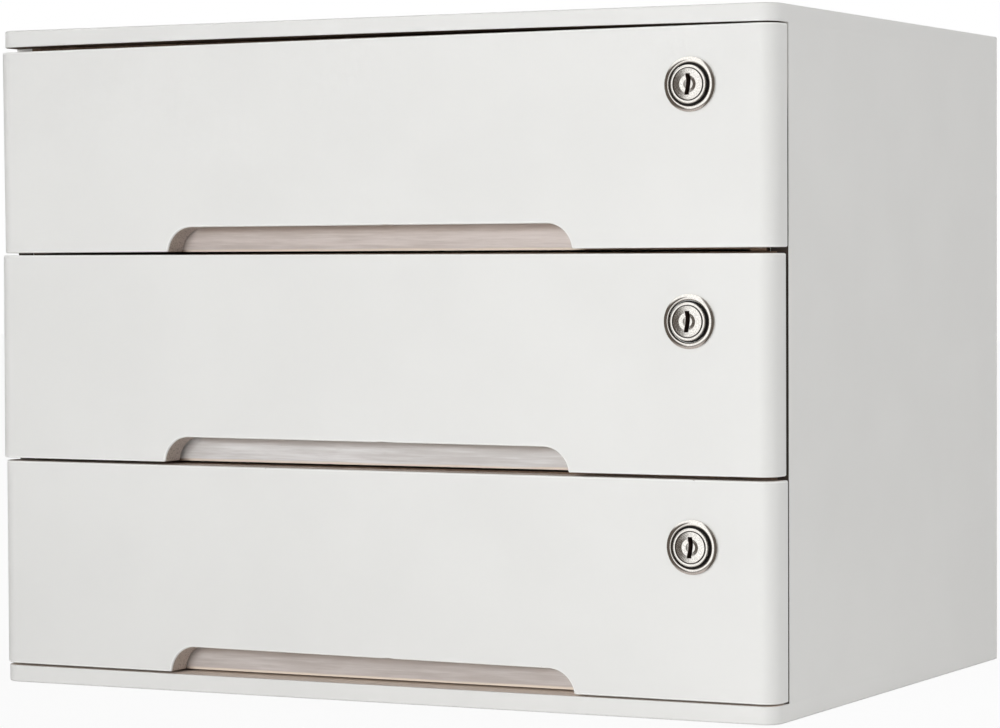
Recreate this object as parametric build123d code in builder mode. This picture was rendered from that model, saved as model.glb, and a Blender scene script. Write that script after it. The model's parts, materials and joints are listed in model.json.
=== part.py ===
from build123d import *
from collections import namedtuple
from math import sqrt
import os

os.makedirs("parts", exist_ok=True)

# Desktop cabinet with three lockable drawers, in millimetres.
# The origin is the centre of the base, +Z is up and the drawer fronts face -Y.

# Carcass
cabinet_width = 360.0
cabinet_depth = 260.0
cabinet_height = 280.0
board_thickness = 7.2
side_thickness = 8.0
divider_thickness = 5.0
dado_depth = 3.0
corner_radius = 6.0
edge_round = 0.8

# Back panel, let into a rebate and nailed
back_thickness = 3.0
back_setback = 1.0
rebate_lip = 4.0

# Drawer fronts and the gaps round them
front_thickness = 12.0
front_gap = 1.3
foot_gap = 0.8
head_gap = 1.2
front_stand_off = 1.5

# Finger cut-out in the lower edge of a front
pull_width = 188.0
pull_height = 10.3
pull_offset = -1.6
pull_end_share = 1.1
pull_foot_round = 0.8

# Drawer boxes
wall_thickness = 7.0
wall_round = 1.2
bottom_thickness = 3.0
bottom_rise = 3.5
groove_depth = 3.5
side_play = 0.8
cross_wall_lift = 0.7

# Lock rails, which the cams catch behind
rail_height = 8.0

# Lock barrel, with the flange that its trim ring covers
barrel_radius = 8.0
flange_radius = 9.5
flange_thickness = 0.8
stub_radius = 7.6
stub_stand = 2.4
rim_chamfer = 0.25
barrel_end_wall = 2.2
thread_tail = 1.0
nut_across_flats = 22.0
nut_thickness = 3.0

# Lock trim ring: a sloped band and a raised bead round the mouth
trim_radius = 10.8
trim_edge = 0.35
trim_band_stand = 1.0
trim_bead_radius = 9.7
trim_bead_stand = 1.5
trim_crown_share = 0.4
trim_mouth_radius = 8.5

# Lock plug and its key slot
plug_radius = 6.2
plug_stand = 0.25
tail_radius = 4.0
tail_square = 5.6
key_slot_height = 8.4
key_slot_width = 1.9
key_slot_step = 0.45
key_slot_depth = 12.0
dimple_radius = 3.4
dimple_depth = 0.5

# Lock cam and its bolt
cam_thickness = 2.0
cam_boss_radius = 6.0
cam_tip_radius = 4.5
bolt_radius = 1.6
bolt_length = 7.0
bolt_head_radius = 4.6
bolt_head_height = 2.2

# Room between a lock's nut and the rail above it, and between the nut and the box wall beside it
bottom_lock_headroom = 3.2
middle_lock_headroom = 3.2
top_lock_headroom = 4.7
bottom_lock_side_room = 6.8
middle_lock_side_room = 7.8
top_lock_side_room = 7.3

# Fasteners. Pegs and screws are six-sided, and their radius is to the corners.
dowel_radius = 2.5
dowel_board_bite = 4.5
dowel_side_bite = 12.0
pin_width = 1.2
pin_head_width = 2.6
pin_head_height = 0.5
pin_bite = 10.0
rail_screw_radius = 1.2
rail_screw_head_radius = 2.4
rail_screw_head_height = 1.2
rail_screw_bite = 3.0
front_screw_radius = 1.5
front_screw_head_radius = 3.0
front_screw_head_height = 1.8
front_screw_bite = 8.0

# Where fasteners sit along the piece that they hold
dowel_row_shares = (0.14, 0.86)
rail_screw_shares = (-0.3, 0.3)
back_pin_row_shares = (0.08, 0.36, 0.64, 0.92)
back_pin_column_shares = (-0.3, 0.0, 0.3)
corner_pin_row_shares = (0.28, 0.76)
front_screw_row_shares = (0.34, 0.76)
front_screw_span_share = 0.32

# Clearances
fit_clearance = 0.1
run_clearance = 0.3
stop_clearance = 0.3
rail_clearance = 1.0
bore_clearance = 0.2
turn_clearance = 0.25
cam_clearance = 1.0
cam_headroom = 1.7
overrun = 1.0

# Places worked out from the sizes
front_y = -cabinet_depth / 2
back_y = cabinet_depth / 2
box_front_y = front_y + front_thickness
side_front_y = box_front_y + front_stand_off
panel_front_y = back_y - back_setback - back_thickness
panel_back_y = back_y - back_setback
box_back_y = panel_front_y - stop_clearance
side_depth = back_y - side_front_y
inner_half = cabinet_width / 2 - side_thickness
inner_width = 2 * inner_half
side_middle = inner_half + side_thickness / 2
clear_height = cabinet_height - 2 * board_thickness
clear_top = cabinet_height - board_thickness

drawer_names = ("bottom", "middle", "top")
drawer_count = len(drawer_names)
front_height = (clear_height - foot_gap - head_gap - (drawer_count - 1) * front_gap) / drawer_count
pitch = front_height + front_gap
divider_tops = [board_thickness + step * pitch for step in range(1, drawer_count)]
ceilings = [top - divider_thickness for top in divider_tops] + [clear_top]

box_half = inner_half - side_play
box_inner_half = box_half - wall_thickness
nut_corner_radius = nut_across_flats / sqrt(3)
barrel_length = front_thickness + wall_thickness + nut_thickness + thread_tail
cam_front_y = front_y + barrel_length + turn_clearance
cam_back_y = cam_front_y + cam_thickness
rail_back_y = cam_front_y - cam_clearance
bore_radius = barrel_radius + bore_clearance
pull_end_radius = pull_end_share * pull_height

from_above = (0, 0, 1)
from_below = (0, 0, -1)
from_front = (0, -1, 0)
from_back = (0, 1, 0)
standing = (Align.CENTER, Align.CENTER, Align.MIN)
driven = (Align.CENTER, Align.CENTER, Align.MAX)

Bay = namedtuple("Bay", "name floor ceiling lock_x lock_z")


def write(piece, name):
    """Label a finished piece and write it to a file of its own."""
    piece.part.label = name
    export_step(piece.part, f"parts/{name}.step")


def seats(points, face):
    """Planes at the points of a drilled face, with the face's outward direction as their normal."""
    level = from_back if face[0] else (1, 0, 0)
    return [Plane(point, x_dir=level, z_dir=face) for point in points]


def dowel_points(z):
    """Dowel places over both sides at one height."""
    rows = [side_front_y + share * side_depth for share in dowel_row_shares]
    return [(hand * side_middle, row, z) for hand in (-1, 1) for row in rows]


def rail_screw_points(z):
    """Screw places along a lock rail at one height."""
    middle = (side_front_y + rail_back_y) / 2
    return [(share * inner_width, middle, z) for share in rail_screw_shares]


def back_pin_points(y):
    """Nail places round the rebate of the back panel, in a plane square to Y."""
    ledge = inner_half + rebate_lip / 2
    rows = [board_thickness + share * clear_height for share in back_pin_row_shares]
    columns = [share * inner_width for share in back_pin_column_shares]
    ledges = (board_thickness - rebate_lip / 2, clear_top + rebate_lip / 2)
    upright = [(hand * ledge, y, row) for hand in (-1, 1) for row in rows]
    level = [(column, y, z) for column in columns for z in ledges]
    return upright + level


def nail_holes(points, face, depth):
    """Cut square holes for nails into the piece that is being built."""
    across = pin_width + 2 * fit_clearance
    with Locations(*seats(points, face)):
        Box(across, across, depth, align=driven, mode=Mode.SUBTRACT)


def pegs(points, face, radius, low, high):
    """Add six-sided pegs at the points of a face, from a depth below it to a height above it."""
    with BuildSketch(*[plane.offset(low) for plane in seats(points, face)]) as section:
        RegularPolygon(radius, 6)
    extrude(section.sketch, amount=high - low)


def peg_holes(points, face, radius, depth):
    """Cut holes for six-sided pegs or screw heads into the piece that is being built."""
    with BuildSketch(*seats(points, face)) as section:
        RegularPolygon(radius + fit_clearance, 6)
    extrude(section.sketch, amount=-depth, mode=Mode.SUBTRACT)


# Carcass

def cabinet_board(name, floor, inner_face, drilled_from):
    """A full board with rounded front corners, a rebate for the back panel and blind dowel holes."""
    outer = 0 if drilled_from == from_above else -1
    rebate_side = Align.MAX if drilled_from == from_above else Align.MIN
    with BuildPart() as board:
        with BuildSketch(Plane.XY.offset(floor)) as plan:
            Rectangle(cabinet_width, cabinet_depth)
            fillet(plan.vertices().group_by(Axis.Y)[0], corner_radius)
        extrude(amount=board_thickness)
        fillet(board.faces().sort_by(Axis.Z)[outer].edges(), edge_round)
        with Locations((0, panel_front_y, inner_face)):
            Box(
                inner_width + 2 * rebate_lip,
                back_thickness + back_setback + overrun,
                rebate_lip,
                align=(Align.CENTER, Align.MIN, rebate_side),
                mode=Mode.SUBTRACT,
            )
        peg_holes(dowel_points(inner_face), drilled_from, dowel_radius, dowel_board_bite + fit_clearance)
        lip_points = [p for p in back_pin_points(panel_front_y) if floor < p[2] < floor + board_thickness]
        nail_holes(lip_points, from_back, pin_bite + fit_clearance)
        if drilled_from == from_below:
            screw_points = rail_screw_points(inner_face)
            peg_holes(screw_points, from_below, rail_screw_radius, rail_screw_bite + fit_clearance)
    write(board, name)


cabinet_board("bottom_board", 0, board_thickness, from_above)
cabinet_board("top_board", clear_top, clear_top, from_below)


def cabinet_side(name, hand):
    """A side panel between the boards, with housings for the dividers and a rebate for the back."""
    with BuildPart() as side:
        with BuildSketch(Plane.XY.offset(board_thickness)):
            with Locations((hand * side_middle, side_front_y)):
                Rectangle(side_thickness, side_depth, align=(Align.CENTER, Align.MIN))
        extrude(amount=clear_height)
        with Locations(*[(hand * inner_half, side_front_y, top - divider_thickness) for top in divider_tops]):
            Box(
                2 * dado_depth,
                panel_front_y - side_front_y,
                divider_thickness + fit_clearance,
                align=(Align.CENTER, Align.MIN, Align.MIN),
                mode=Mode.SUBTRACT,
            )
        with Locations((hand * inner_half, panel_front_y, board_thickness)):
            Box(
                2 * rebate_lip,
                back_thickness + back_setback + overrun,
                clear_height,
                align=(Align.CENTER, Align.MIN, Align.MIN),
                mode=Mode.SUBTRACT,
            )
        for end, face in ((board_thickness, from_below), (clear_top, from_above)):
            own_points = [p for p in dowel_points(end) if p[0] * hand > 0]
            peg_holes(own_points, face, dowel_radius, dowel_side_bite + fit_clearance)
        own_pins = [p for p in back_pin_points(panel_front_y) if p[0] * hand > inner_half]
        nail_holes(own_pins, from_back, pin_bite + fit_clearance)
    write(side, name)


cabinet_side("left_side", -1)
cabinet_side("right_side", 1)

with BuildPart() as back_panel:
    with BuildSketch(Plane.XZ.offset(-panel_front_y)):
        with Locations((0, board_thickness + clear_height / 2)):
            Rectangle(
                inner_width + 2 * (rebate_lip - fit_clearance),
                clear_height + 2 * (rebate_lip - fit_clearance),
            )
    extrude(amount=-back_thickness)
    nail_holes(back_pin_points(panel_back_y), from_back, back_thickness)
write(back_panel, "back_panel")

with BuildPart() as back_panel_nails:
    with Locations(*seats(back_pin_points(panel_back_y), from_back)):
        Box(pin_width, pin_width, back_thickness + pin_bite, align=driven)
        Box(pin_head_width, pin_head_width, pin_head_height, align=standing)
write(back_panel_nails, "back_panel_nails")

with BuildPart() as carcass_dowels:
    pegs(dowel_points(board_thickness), from_above, dowel_radius, -dowel_board_bite, dowel_side_bite)
    pegs(dowel_points(clear_top), from_above, dowel_radius, -dowel_side_bite, dowel_board_bite)
write(carcass_dowels, "carcass_dowels")


def divider(name, top):
    """A shelf housed in both sides, drilled underneath for its lock rail's screws."""
    with BuildPart() as shelf:
        with BuildSketch(Plane.XY.offset(top - divider_thickness)):
            with Locations((0, side_front_y)):
                Rectangle(
                    inner_width + 2 * (dado_depth - fit_clearance),
                    panel_front_y - side_front_y,
                    align=(Align.CENTER, Align.MIN),
                )
        extrude(amount=divider_thickness)
        screw_points = rail_screw_points(top - divider_thickness)
        peg_holes(screw_points, from_below, rail_screw_radius, rail_screw_bite + fit_clearance)
    write(shelf, name)


for divider_name, divider_top in zip(("lower_divider", "upper_divider"), divider_tops):
    divider(divider_name, divider_top)


def lock_rail(name, ceiling):
    """A strip between the sides, under the board above a drawer, with sunk seats for its screws' heads."""
    with BuildPart() as rail:
        with BuildSketch(Plane.XY.offset(ceiling - rail_height)):
            with Locations((0, side_front_y)):
                Rectangle(inner_width, rail_back_y - side_front_y, align=(Align.CENTER, Align.MIN))
        extrude(amount=rail_height)
        screw_points = rail_screw_points(ceiling - rail_height)
        peg_holes(screw_points, from_below, rail_screw_radius, rail_height)
        peg_holes(screw_points, from_below, rail_screw_head_radius, rail_screw_head_height)
    write(rail, name)


for rail_name, rail_ceiling in zip(("lower_lock_rail", "upper_lock_rail", "top_lock_rail"), ceilings):
    lock_rail(rail_name, rail_ceiling)

with BuildPart() as rail_screws:
    for rail_ceiling in ceilings:
        screw_seats = rail_screw_points(rail_ceiling - rail_height)
        pegs(screw_seats, from_below, rail_screw_radius, -rail_height - rail_screw_bite, 0)
        pegs(screw_seats, from_below, rail_screw_head_radius, -rail_screw_head_height, 0)
write(rail_screws, "rail_screws")


# Drawers

def box_size(bay):
    """The lowest height of a drawer's box and how tall its walls are, under the lock rail."""
    box_floor = bay.floor + run_clearance
    return box_floor, bay.ceiling - rail_height - rail_clearance - box_floor


def front_screw_points(bay, y):
    """The four places where a front is screwed to its box."""
    box_floor, box_height = box_size(bay)
    reach = front_screw_span_share * inner_width
    rows = [box_floor + share * box_height for share in front_screw_row_shares]
    return [(hand * reach, y, row) for hand in (-1, 1) for row in rows]


def corner_pin_points(bay, hand):
    """Nail places on the outer face of one side wall: two at the front corner, two at the back."""
    box_floor, box_height = box_size(bay)
    rows = [box_floor + share * box_height for share in corner_pin_row_shares]
    ends = (box_front_y + wall_thickness / 2, box_back_y - wall_thickness / 2)
    return [(hand * box_half, end, row) for end in ends for row in rows]


def drawer_front(bay):
    """An overlay front with rounded upright edges, the finger cut-out and the lock's bore."""
    front_floor = bay.floor + foot_gap
    with BuildPart() as front:
        with BuildSketch(Plane.XY.offset(front_floor)) as plan:
            with Locations((0, front_y)):
                Rectangle(cabinet_width, front_thickness, align=(Align.CENTER, Align.MIN))
            fillet(plan.vertices().group_by(Axis.Y)[0], corner_radius)
        extrude(amount=front_height)
        for end in (0, -1):
            rim = front.faces().sort_by(Axis.Z)[end].edges().sort_by(Axis.Y)[:-1]
            fillet(rim, edge_round)
        with BuildSketch(Plane.XZ.offset(-front_y)) as cut:
            foot_level = front_floor - fit_clearance
            middle = (pull_offset, foot_level)
            with Locations((pull_offset, front_floor + pull_height - pull_end_radius)):
                SlotOverall(pull_width, 2 * pull_end_radius)
            with Locations(middle):
                Rectangle(
                    pull_width + 4 * pull_foot_round, pull_height, align=(Align.CENTER, Align.MAX)
                )
            level = (foot_level - fit_clearance, foot_level + fit_clearance)
            feet = cut.vertices().filter_by_position(Axis.Y, *level).sort_by_distance(middle)[:2]
            fillet(feet, pull_foot_round)
            with Locations((bay.lock_x, bay.lock_z)):
                Circle(bore_radius)
        extrude(amount=-front_thickness, mode=Mode.SUBTRACT)
        screw_points = front_screw_points(bay, box_front_y)
        peg_holes(screw_points, from_back, front_screw_radius, front_screw_bite + fit_clearance)
    write(front, f"{bay.name}_front")


def cross_wall(bay, name, wall_front_y, groove_y):
    """A box wall between the side walls, clear of what they slide on and grooved inside for the bottom."""
    box_floor, box_height = box_size(bay)
    with BuildPart() as wall:
        with BuildSketch(Plane.XY.offset(box_floor + cross_wall_lift)):
            with Locations((0, wall_front_y)):
                Rectangle(2 * box_inner_half, wall_thickness, align=(Align.CENTER, Align.MIN))
        extrude(amount=box_height - cross_wall_lift)
        fillet(wall.edges().filter_by(Axis.X).group_by(Axis.Z)[-1], wall_round)
        with Locations((0, groove_y, box_floor + bottom_rise)):
            Box(
                2 * box_inner_half,
                2 * groove_depth,
                bottom_thickness + fit_clearance,
                align=standing,
                mode=Mode.SUBTRACT,
            )
        for hand in (-1, 1):
            ends = [(hand * box_inner_half, y, z) for _, y, z in corner_pin_points(bay, hand)]
            near = [p for p in ends if wall_front_y < p[1] < wall_front_y + wall_thickness]
            nail_holes(near, (hand, 0, 0), pin_bite + fit_clearance)
        if wall_front_y == box_front_y:
            with BuildSketch(Plane.XZ.offset(-box_front_y)):
                with Locations((bay.lock_x, bay.lock_z)):
                    Circle(bore_radius)
            extrude(amount=-wall_thickness, mode=Mode.SUBTRACT)
            screw_points = front_screw_points(bay, box_front_y + wall_thickness)
            peg_holes(screw_points, from_back, front_screw_radius, wall_thickness)
    write(wall, f"{bay.name}_{name}")


def side_wall(bay, name, hand):
    """A box wall from the front to the back of a drawer, with a stopped groove for the bottom."""
    box_floor, box_height = box_size(bay)
    with BuildPart() as wall:
        with BuildSketch(Plane.XY.offset(box_floor)):
            with Locations((hand * (box_inner_half + wall_thickness / 2), box_front_y)):
                Rectangle(wall_thickness, box_back_y - box_front_y, align=(Align.CENTER, Align.MIN))
        extrude(amount=box_height)
        fillet(wall.edges().filter_by(Axis.Y).group_by(Axis.Z)[-1], wall_round)
        groove_ends = wall_thickness - groove_depth
        with Locations((hand * box_inner_half, box_front_y + groove_ends, box_floor + bottom_rise)):
            Box(
                2 * groove_depth,
                box_back_y - box_front_y - 2 * groove_ends,
                bottom_thickness + fit_clearance,
                align=(Align.CENTER, Align.MIN, Align.MIN),
                mode=Mode.SUBTRACT,
            )
        nail_holes(corner_pin_points(bay, hand), (hand, 0, 0), wall_thickness)
    write(wall, f"{bay.name}_{name}")


def drawer_box(bay):
    """The box behind a front: four walls, a bottom in their grooves, nails and screws."""
    cross_wall(bay, "box_front", box_front_y, box_front_y + wall_thickness)
    cross_wall(bay, "box_back", box_back_y - wall_thickness, box_back_y - wall_thickness)
    side_wall(bay, "box_left_wall", -1)
    side_wall(bay, "box_right_wall", 1)
    box_floor, _ = box_size(bay)
    bottom_rim = groove_depth - fit_clearance
    bottom_front_y = box_front_y + wall_thickness - bottom_rim
    bottom_back_y = box_back_y - wall_thickness + bottom_rim
    with BuildPart() as bottom:
        with BuildSketch(Plane.XY.offset(box_floor + bottom_rise)):
            with Locations((0, bottom_front_y)):
                Rectangle(
                    2 * (box_inner_half + bottom_rim),
                    bottom_back_y - bottom_front_y,
                    align=(Align.CENTER, Align.MIN),
                )
        extrude(amount=bottom_thickness)
    write(bottom, f"{bay.name}_box_bottom")
    with BuildPart() as corner_nails:
        for hand in (-1, 1):
            with Locations(*seats(corner_pin_points(bay, hand), (hand, 0, 0))):
                Box(pin_width, pin_width, wall_thickness + pin_bite, align=driven)
    write(corner_nails, f"{bay.name}_corner_nails")
    with BuildPart() as front_screws:
        screw_seats = front_screw_points(bay, box_front_y + wall_thickness)
        pegs(screw_seats, from_back, front_screw_radius, -wall_thickness - front_screw_bite, 0)
        pegs(screw_seats, from_back, front_screw_head_radius, 0, front_screw_head_height)
    write(front_screws, f"{bay.name}_front_screws")


# Locks. A profile runs outwards from the lock's axis in x and into the drawer in y.

def lock_axis(bay):
    """The line that a lock turns about."""
    return Axis((bay.lock_x, front_y, bay.lock_z), from_back)


def profile_plane(bay):
    """The level plane through a lock's axis, with its origin on the face of the front."""
    return Plane((bay.lock_x, front_y, bay.lock_z), x_dir=(1, 0, 0), z_dir=from_above)


def cross_plane(bay, y):
    """The plane square to a lock's axis at y, which faces the user."""
    return Plane((bay.lock_x, y, bay.lock_z), x_dir=(1, 0, 0), z_dir=from_front)


def lock_barrel(bay):
    """The fixed barrel: a stub proud of the front, a flange on it and a threaded body behind."""
    bore = plug_radius + turn_clearance
    tail_hole = tail_radius + turn_clearance
    end_wall_y = barrel_length - barrel_end_wall
    with BuildPart() as barrel:
        with BuildSketch(profile_plane(bay)):
            with BuildLine():
                Polyline(
                    (bore, -stub_stand),
                    (stub_radius - rim_chamfer, -stub_stand),
                    (stub_radius, rim_chamfer - stub_stand),
                    (stub_radius, -flange_thickness),
                    (flange_radius, -flange_thickness),
                    (flange_radius, 0),
                    (barrel_radius, 0),
                    (barrel_radius, barrel_length),
                    (tail_hole, barrel_length),
                    (tail_hole, end_wall_y),
                    (bore, end_wall_y),
                    close=True,
                )
            make_face()
        revolve(axis=lock_axis(bay))
    write(barrel, f"{bay.name}_lock_barrel")


def lock_trim_ring(bay):
    """The ring over the flange: an edge, a sloped band, then a raised bead down to the mouth."""
    under = flange_thickness + fit_clearance
    seat = flange_radius + fit_clearance
    band_end = (trim_bead_radius, -trim_band_stand)
    mouth = (trim_mouth_radius, -trim_band_stand)
    bead_middle = (trim_bead_radius + trim_mouth_radius) / 2
    crown_half = trim_crown_share * (trim_bead_radius - trim_mouth_radius) / 2
    with BuildPart() as ring:
        with BuildSketch(profile_plane(bay)):
            with BuildLine():
                Polyline(
                    (seat, 0),
                    (trim_radius, 0),
                    (trim_radius, -trim_edge),
                    band_end,
                    (bead_middle + crown_half, -trim_bead_stand),
                    (bead_middle - crown_half, -trim_bead_stand),
                    mouth,
                    (trim_mouth_radius, -under),
                    (seat, -under),
                    close=True,
                )
            make_face()
        revolve(axis=lock_axis(bay))
    write(ring, f"{bay.name}_lock_trim_ring")


def lock_nut(bay):
    """The hexagon nut that draws the barrel's flange against the front."""
    with BuildPart() as nut:
        with BuildSketch(cross_plane(bay, box_front_y + wall_thickness)):
            RegularPolygon(nut_corner_radius, 6)
            Circle(barrel_radius + fit_clearance, mode=Mode.SUBTRACT)
        extrude(amount=-nut_thickness)
    write(nut, f"{bay.name}_lock_nut")


def lock_plug(bay):
    """The turning plug: a dished face with a stepped key slot, a round tail and a square end."""
    face = -stub_stand - plug_stand
    shoulder = barrel_length - barrel_end_wall - turn_clearance
    tail_end = barrel_length + turn_clearance
    with BuildPart() as plug:
        with BuildSketch(profile_plane(bay)):
            with BuildLine():
                Polyline(
                    (0, face + dimple_depth),
                    (dimple_radius, face),
                    (plug_radius - rim_chamfer, face),
                    (plug_radius, face + rim_chamfer),
                    (plug_radius, shoulder),
                    (tail_radius, shoulder),
                    (tail_radius, tail_end),
                    (0, tail_end),
                    close=True,
                )
            make_face()
        revolve(axis=lock_axis(bay))
        with BuildSketch(cross_plane(bay, cam_front_y)):
            Rectangle(tail_square, tail_square)
        extrude(amount=fit_clearance - cam_thickness)
        with Locations(Plane((bay.lock_x, cam_back_y, bay.lock_z), z_dir=from_back)):
            Hole(bolt_radius + fit_clearance, bolt_length + fit_clearance)
        with BuildSketch(cross_plane(bay, front_y + face)):
            for step in (-1, 1):
                with Locations((step * key_slot_step, step * key_slot_height / 4)):
                    Rectangle(key_slot_width, key_slot_height / 2)
        extrude(amount=-key_slot_depth, mode=Mode.SUBTRACT)
    write(plug, f"{bay.name}_lock_plug")


def lock_cam(bay):
    """The flat cam on the plug's square end, unlocked: it points away from the side of the cabinet."""
    cam_reach = bay.ceiling - cam_headroom - bay.lock_z
    with BuildPart() as cam:
        with BuildSketch(cross_plane(bay, cam_front_y)):
            Circle(cam_boss_radius)
            with Locations((cam_tip_radius - cam_reach, 0)):
                Circle(cam_tip_radius)
            make_hull()
            Rectangle(tail_square + 2 * fit_clearance, tail_square + 2 * fit_clearance, mode=Mode.SUBTRACT)
        extrude(amount=-cam_thickness)
    write(cam, f"{bay.name}_lock_cam")
    with BuildPart() as bolt:
        with BuildSketch(cross_plane(bay, cam_back_y)):
            RegularPolygon(bolt_head_radius, 6)
        extrude(amount=-bolt_head_height)
        with BuildSketch(cross_plane(bay, cam_back_y)):
            Circle(bolt_radius)
        extrude(amount=bolt_length)
    write(bolt, f"{bay.name}_cam_bolt")


floors = [board_thickness] + divider_tops
headrooms = (bottom_lock_headroom, middle_lock_headroom, top_lock_headroom)
side_rooms = (bottom_lock_side_room, middle_lock_side_room, top_lock_side_room)
for drawer_name, floor, ceiling, headroom, side_room in zip(
    drawer_names, floors, ceilings, headrooms, side_rooms
):
    drawer_bay = Bay(
        drawer_name,
        floor,
        ceiling,
        box_inner_half - side_room - nut_corner_radius,
        ceiling - rail_height - headroom - nut_across_flats / 2,
    )
    drawer_front(drawer_bay)
    drawer_box(drawer_bay)
    lock_barrel(drawer_bay)
    lock_trim_ring(drawer_bay)
    lock_nut(drawer_bay)
    lock_plug(drawer_bay)
    lock_cam(drawer_bay)
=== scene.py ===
import json
import math

import bmesh
import bpy
import numpy as np
from bpy.props import FloatProperty, FloatVectorProperty, PointerProperty
from mathutils import Matrix, Vector


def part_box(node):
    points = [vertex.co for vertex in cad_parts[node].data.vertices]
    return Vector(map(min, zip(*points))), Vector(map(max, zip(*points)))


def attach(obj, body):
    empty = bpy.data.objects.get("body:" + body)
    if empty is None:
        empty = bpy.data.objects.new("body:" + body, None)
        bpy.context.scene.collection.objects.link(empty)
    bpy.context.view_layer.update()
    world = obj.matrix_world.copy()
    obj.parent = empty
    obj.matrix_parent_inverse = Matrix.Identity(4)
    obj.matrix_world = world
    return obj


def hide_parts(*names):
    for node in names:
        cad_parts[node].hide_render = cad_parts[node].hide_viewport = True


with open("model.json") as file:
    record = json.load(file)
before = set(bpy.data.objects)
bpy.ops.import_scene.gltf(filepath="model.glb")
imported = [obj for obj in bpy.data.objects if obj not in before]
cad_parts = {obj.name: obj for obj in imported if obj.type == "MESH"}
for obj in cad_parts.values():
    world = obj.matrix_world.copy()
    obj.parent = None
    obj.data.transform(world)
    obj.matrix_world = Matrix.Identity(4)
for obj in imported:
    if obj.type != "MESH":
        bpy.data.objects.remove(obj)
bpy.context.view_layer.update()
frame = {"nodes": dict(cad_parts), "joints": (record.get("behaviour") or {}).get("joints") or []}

bl_info = {
    "name": "Three-drawer desk cabinet",
    "version": (1, 0, 0),
    "blender": (4, 5, 0),
    "location": "3D View > Sidebar > Cabinet",
    "description": "Painted boards, drawer fronts, key locks and wood finishes round a packed drawer cabinet",
    "category": "Object",
}

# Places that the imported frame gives. The front faces -Y, and everything is in metres.
DRAWERS = ("bottom", "middle", "top")
LOCK_AXES = {
    joint["child"].removesuffix("_lock"): np.array(joint["pos_m"])
    for joint in frame["joints"]
    if joint["type"] == "hinge"
}

# How finely curves are divided
ARC_STEPS = 14
RIM_STEPS = 6
RUN_STEPS = 26
ROUND_STEPS = 128
QUARTER = math.pi / 2

# Distances below which points are one, by which cutters run over, and by which fitted pieces stay apart
MERGE = 1e-6
OVERRUN = 0.001
FIT = 0.0001

# Edges sharper than the first angle stay sharp, and faces within the second are one plane
SHARP = math.radians(32)
FLAT = math.radians(0.5)

# Edges broken on the parts that keep their CAD shape
WALL_EDGE = 0.0004
SHEET_EDGE = 0.0002
STRIP_EDGE = 0.0003
DOWEL_EDGE = 0.0004
STEEL_EDGE = 0.0003
SCREW_EDGE = 0.0002
NAIL_EDGE = 0.0001

# Patterns of the finishes, in features per metre. Where there are two, they lie along and across the grain.
PAINT_CLOUDS = 16.0
PAINT_GRAIN = (45.0, 1100.0)
PAINT_CHIPS = 130.0
PAINT_FRAY = 900.0
PAINT_PEEL = 1500.0
SAWN_FIBRES = 1300.0
LIMED_STREAKS = (38.0, 620.0)
LIMED_PORES = (120.0, 2600.0)
LIMED_CLOUDS = (9.0, 30.0)
WOOD_STREAKS = (30.0, 700.0)
HARDBOARD_FIBRES = (300.0, 700.0)
NICKEL_SCUFFS = 2600.0
NICKEL_CLOUDS = 420.0
KEY_SLOT_SPECKS = 1800.0
ZINC_BLOTCHES = 500.0
FLOOR_FLECKS = 60.0

# Depths of the reliefs
PAINT_RELIEF = 0.000012
LIMED_RELIEF = 0.00006
WOOD_RELIEF = 0.00008
POLISHED_RELIEF = 0.0000012
WORN_RELIEF = 0.000023
ZINC_RELIEF = 0.00001

# Roughness of the finishes
PAINT_ROUGH = 0.45
SAWN_ROUGH = 0.75
LIMED_ROUGH = 0.62
WOOD_ROUGH = 0.7
SHEET_ROUGH = 0.55
DOWEL_ROUGH = 0.6
POLISHED_ROUGH = 0.12
WORN_ROUGH = 0.14
KEY_SLOT_ROUGH = 0.5
ZINC_ROUGH = 0.4
FLOOR_ROUGH = 0.9

# Shares of a tone that are left in its darker places
POLISHED_DULL = 0.8
WORN_DULL = 0.72
PAINT_DULL = 0.975
ZINC_DULL = 0.75
DOWEL_DULL = 0.7
FLOOR_DULL = 0.99

# Shares by which one pattern adds to another
# Share of the painted highlight on the paint's rims
RIM_HIGHLIGHT = 0.8
FRAY_SHARE = 0.5
GRAIN_SHARE = 0.6
CLOUD_SHARE = 0.22
# Painted shade in the locks' crevices: noise that frays its edge, and the roughness that it adds
SHADE_CLOUD_SHARE = 0.3
PAINTED_SHADE_ROUGH = 0.5

# Start and end of a noise's soft change, and where four are given also its values there
SOFT = (0.3, 0.7)
GRAIN_SPREAD = (0.32, 0.68)
SAWN_DARK = (0.35, 0.5, 0.4, 0.0)
FRAY_EDGE = (0.7, 0.8)
CHIP_EDGE = (0.68, 0.74)
LIMED_SPREAD = (0.12, 0.62)
LIMED_PORE = (0.28, 0.4, 0.35, 0.0)
LIMED_SHEEN = (0.3, 0.7, 0.7, 0.55)
WOOD_PORE = (0.26, 0.38, 0.6, 0.0)
SCUFF_SPREAD = (0.3, 0.75)
PAINTED_SHADE_EDGE = (0.55, 0.8)
SPECK_SPREAD = (0.45, 0.75)
ZINC_SHEEN = (0.3, 0.7, 0.5, 0.34)
FALLING = (1.0, 0.0)

# The same for the depth that a mesh carries: 0 at a front's face, 1 at its back, 2 on the bottom board's top
CUT_DEPTH = (0.0, 0.1)
BOARD_TOP_DEPTH = (1.2, 1.8)

# The same for a height or a distance, in metres
# Heights over which the painted shade on the sides' front edges gives way to white paint
GAP_SHADE_TOP = (0.23, 0.252)
RAW_EDGE_ENDS = (0.088, 0.096)
RAW_EDGE_TOP = (0.0009, 0.0019)
RAW_EDGE_RAGGED = 0.0012
WALL_FACE = (0.0005, 0.001)
# Reach of the painted shade from a cut-out's rim, and how it fades past the rim's ends
PAINTED_SHADE_REACH = (0.0, 0.0042, 0.55, 0.0)
PAINTED_SHADE_ENDS = (0.0, 0.005, 1.0, 0.2)

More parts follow.
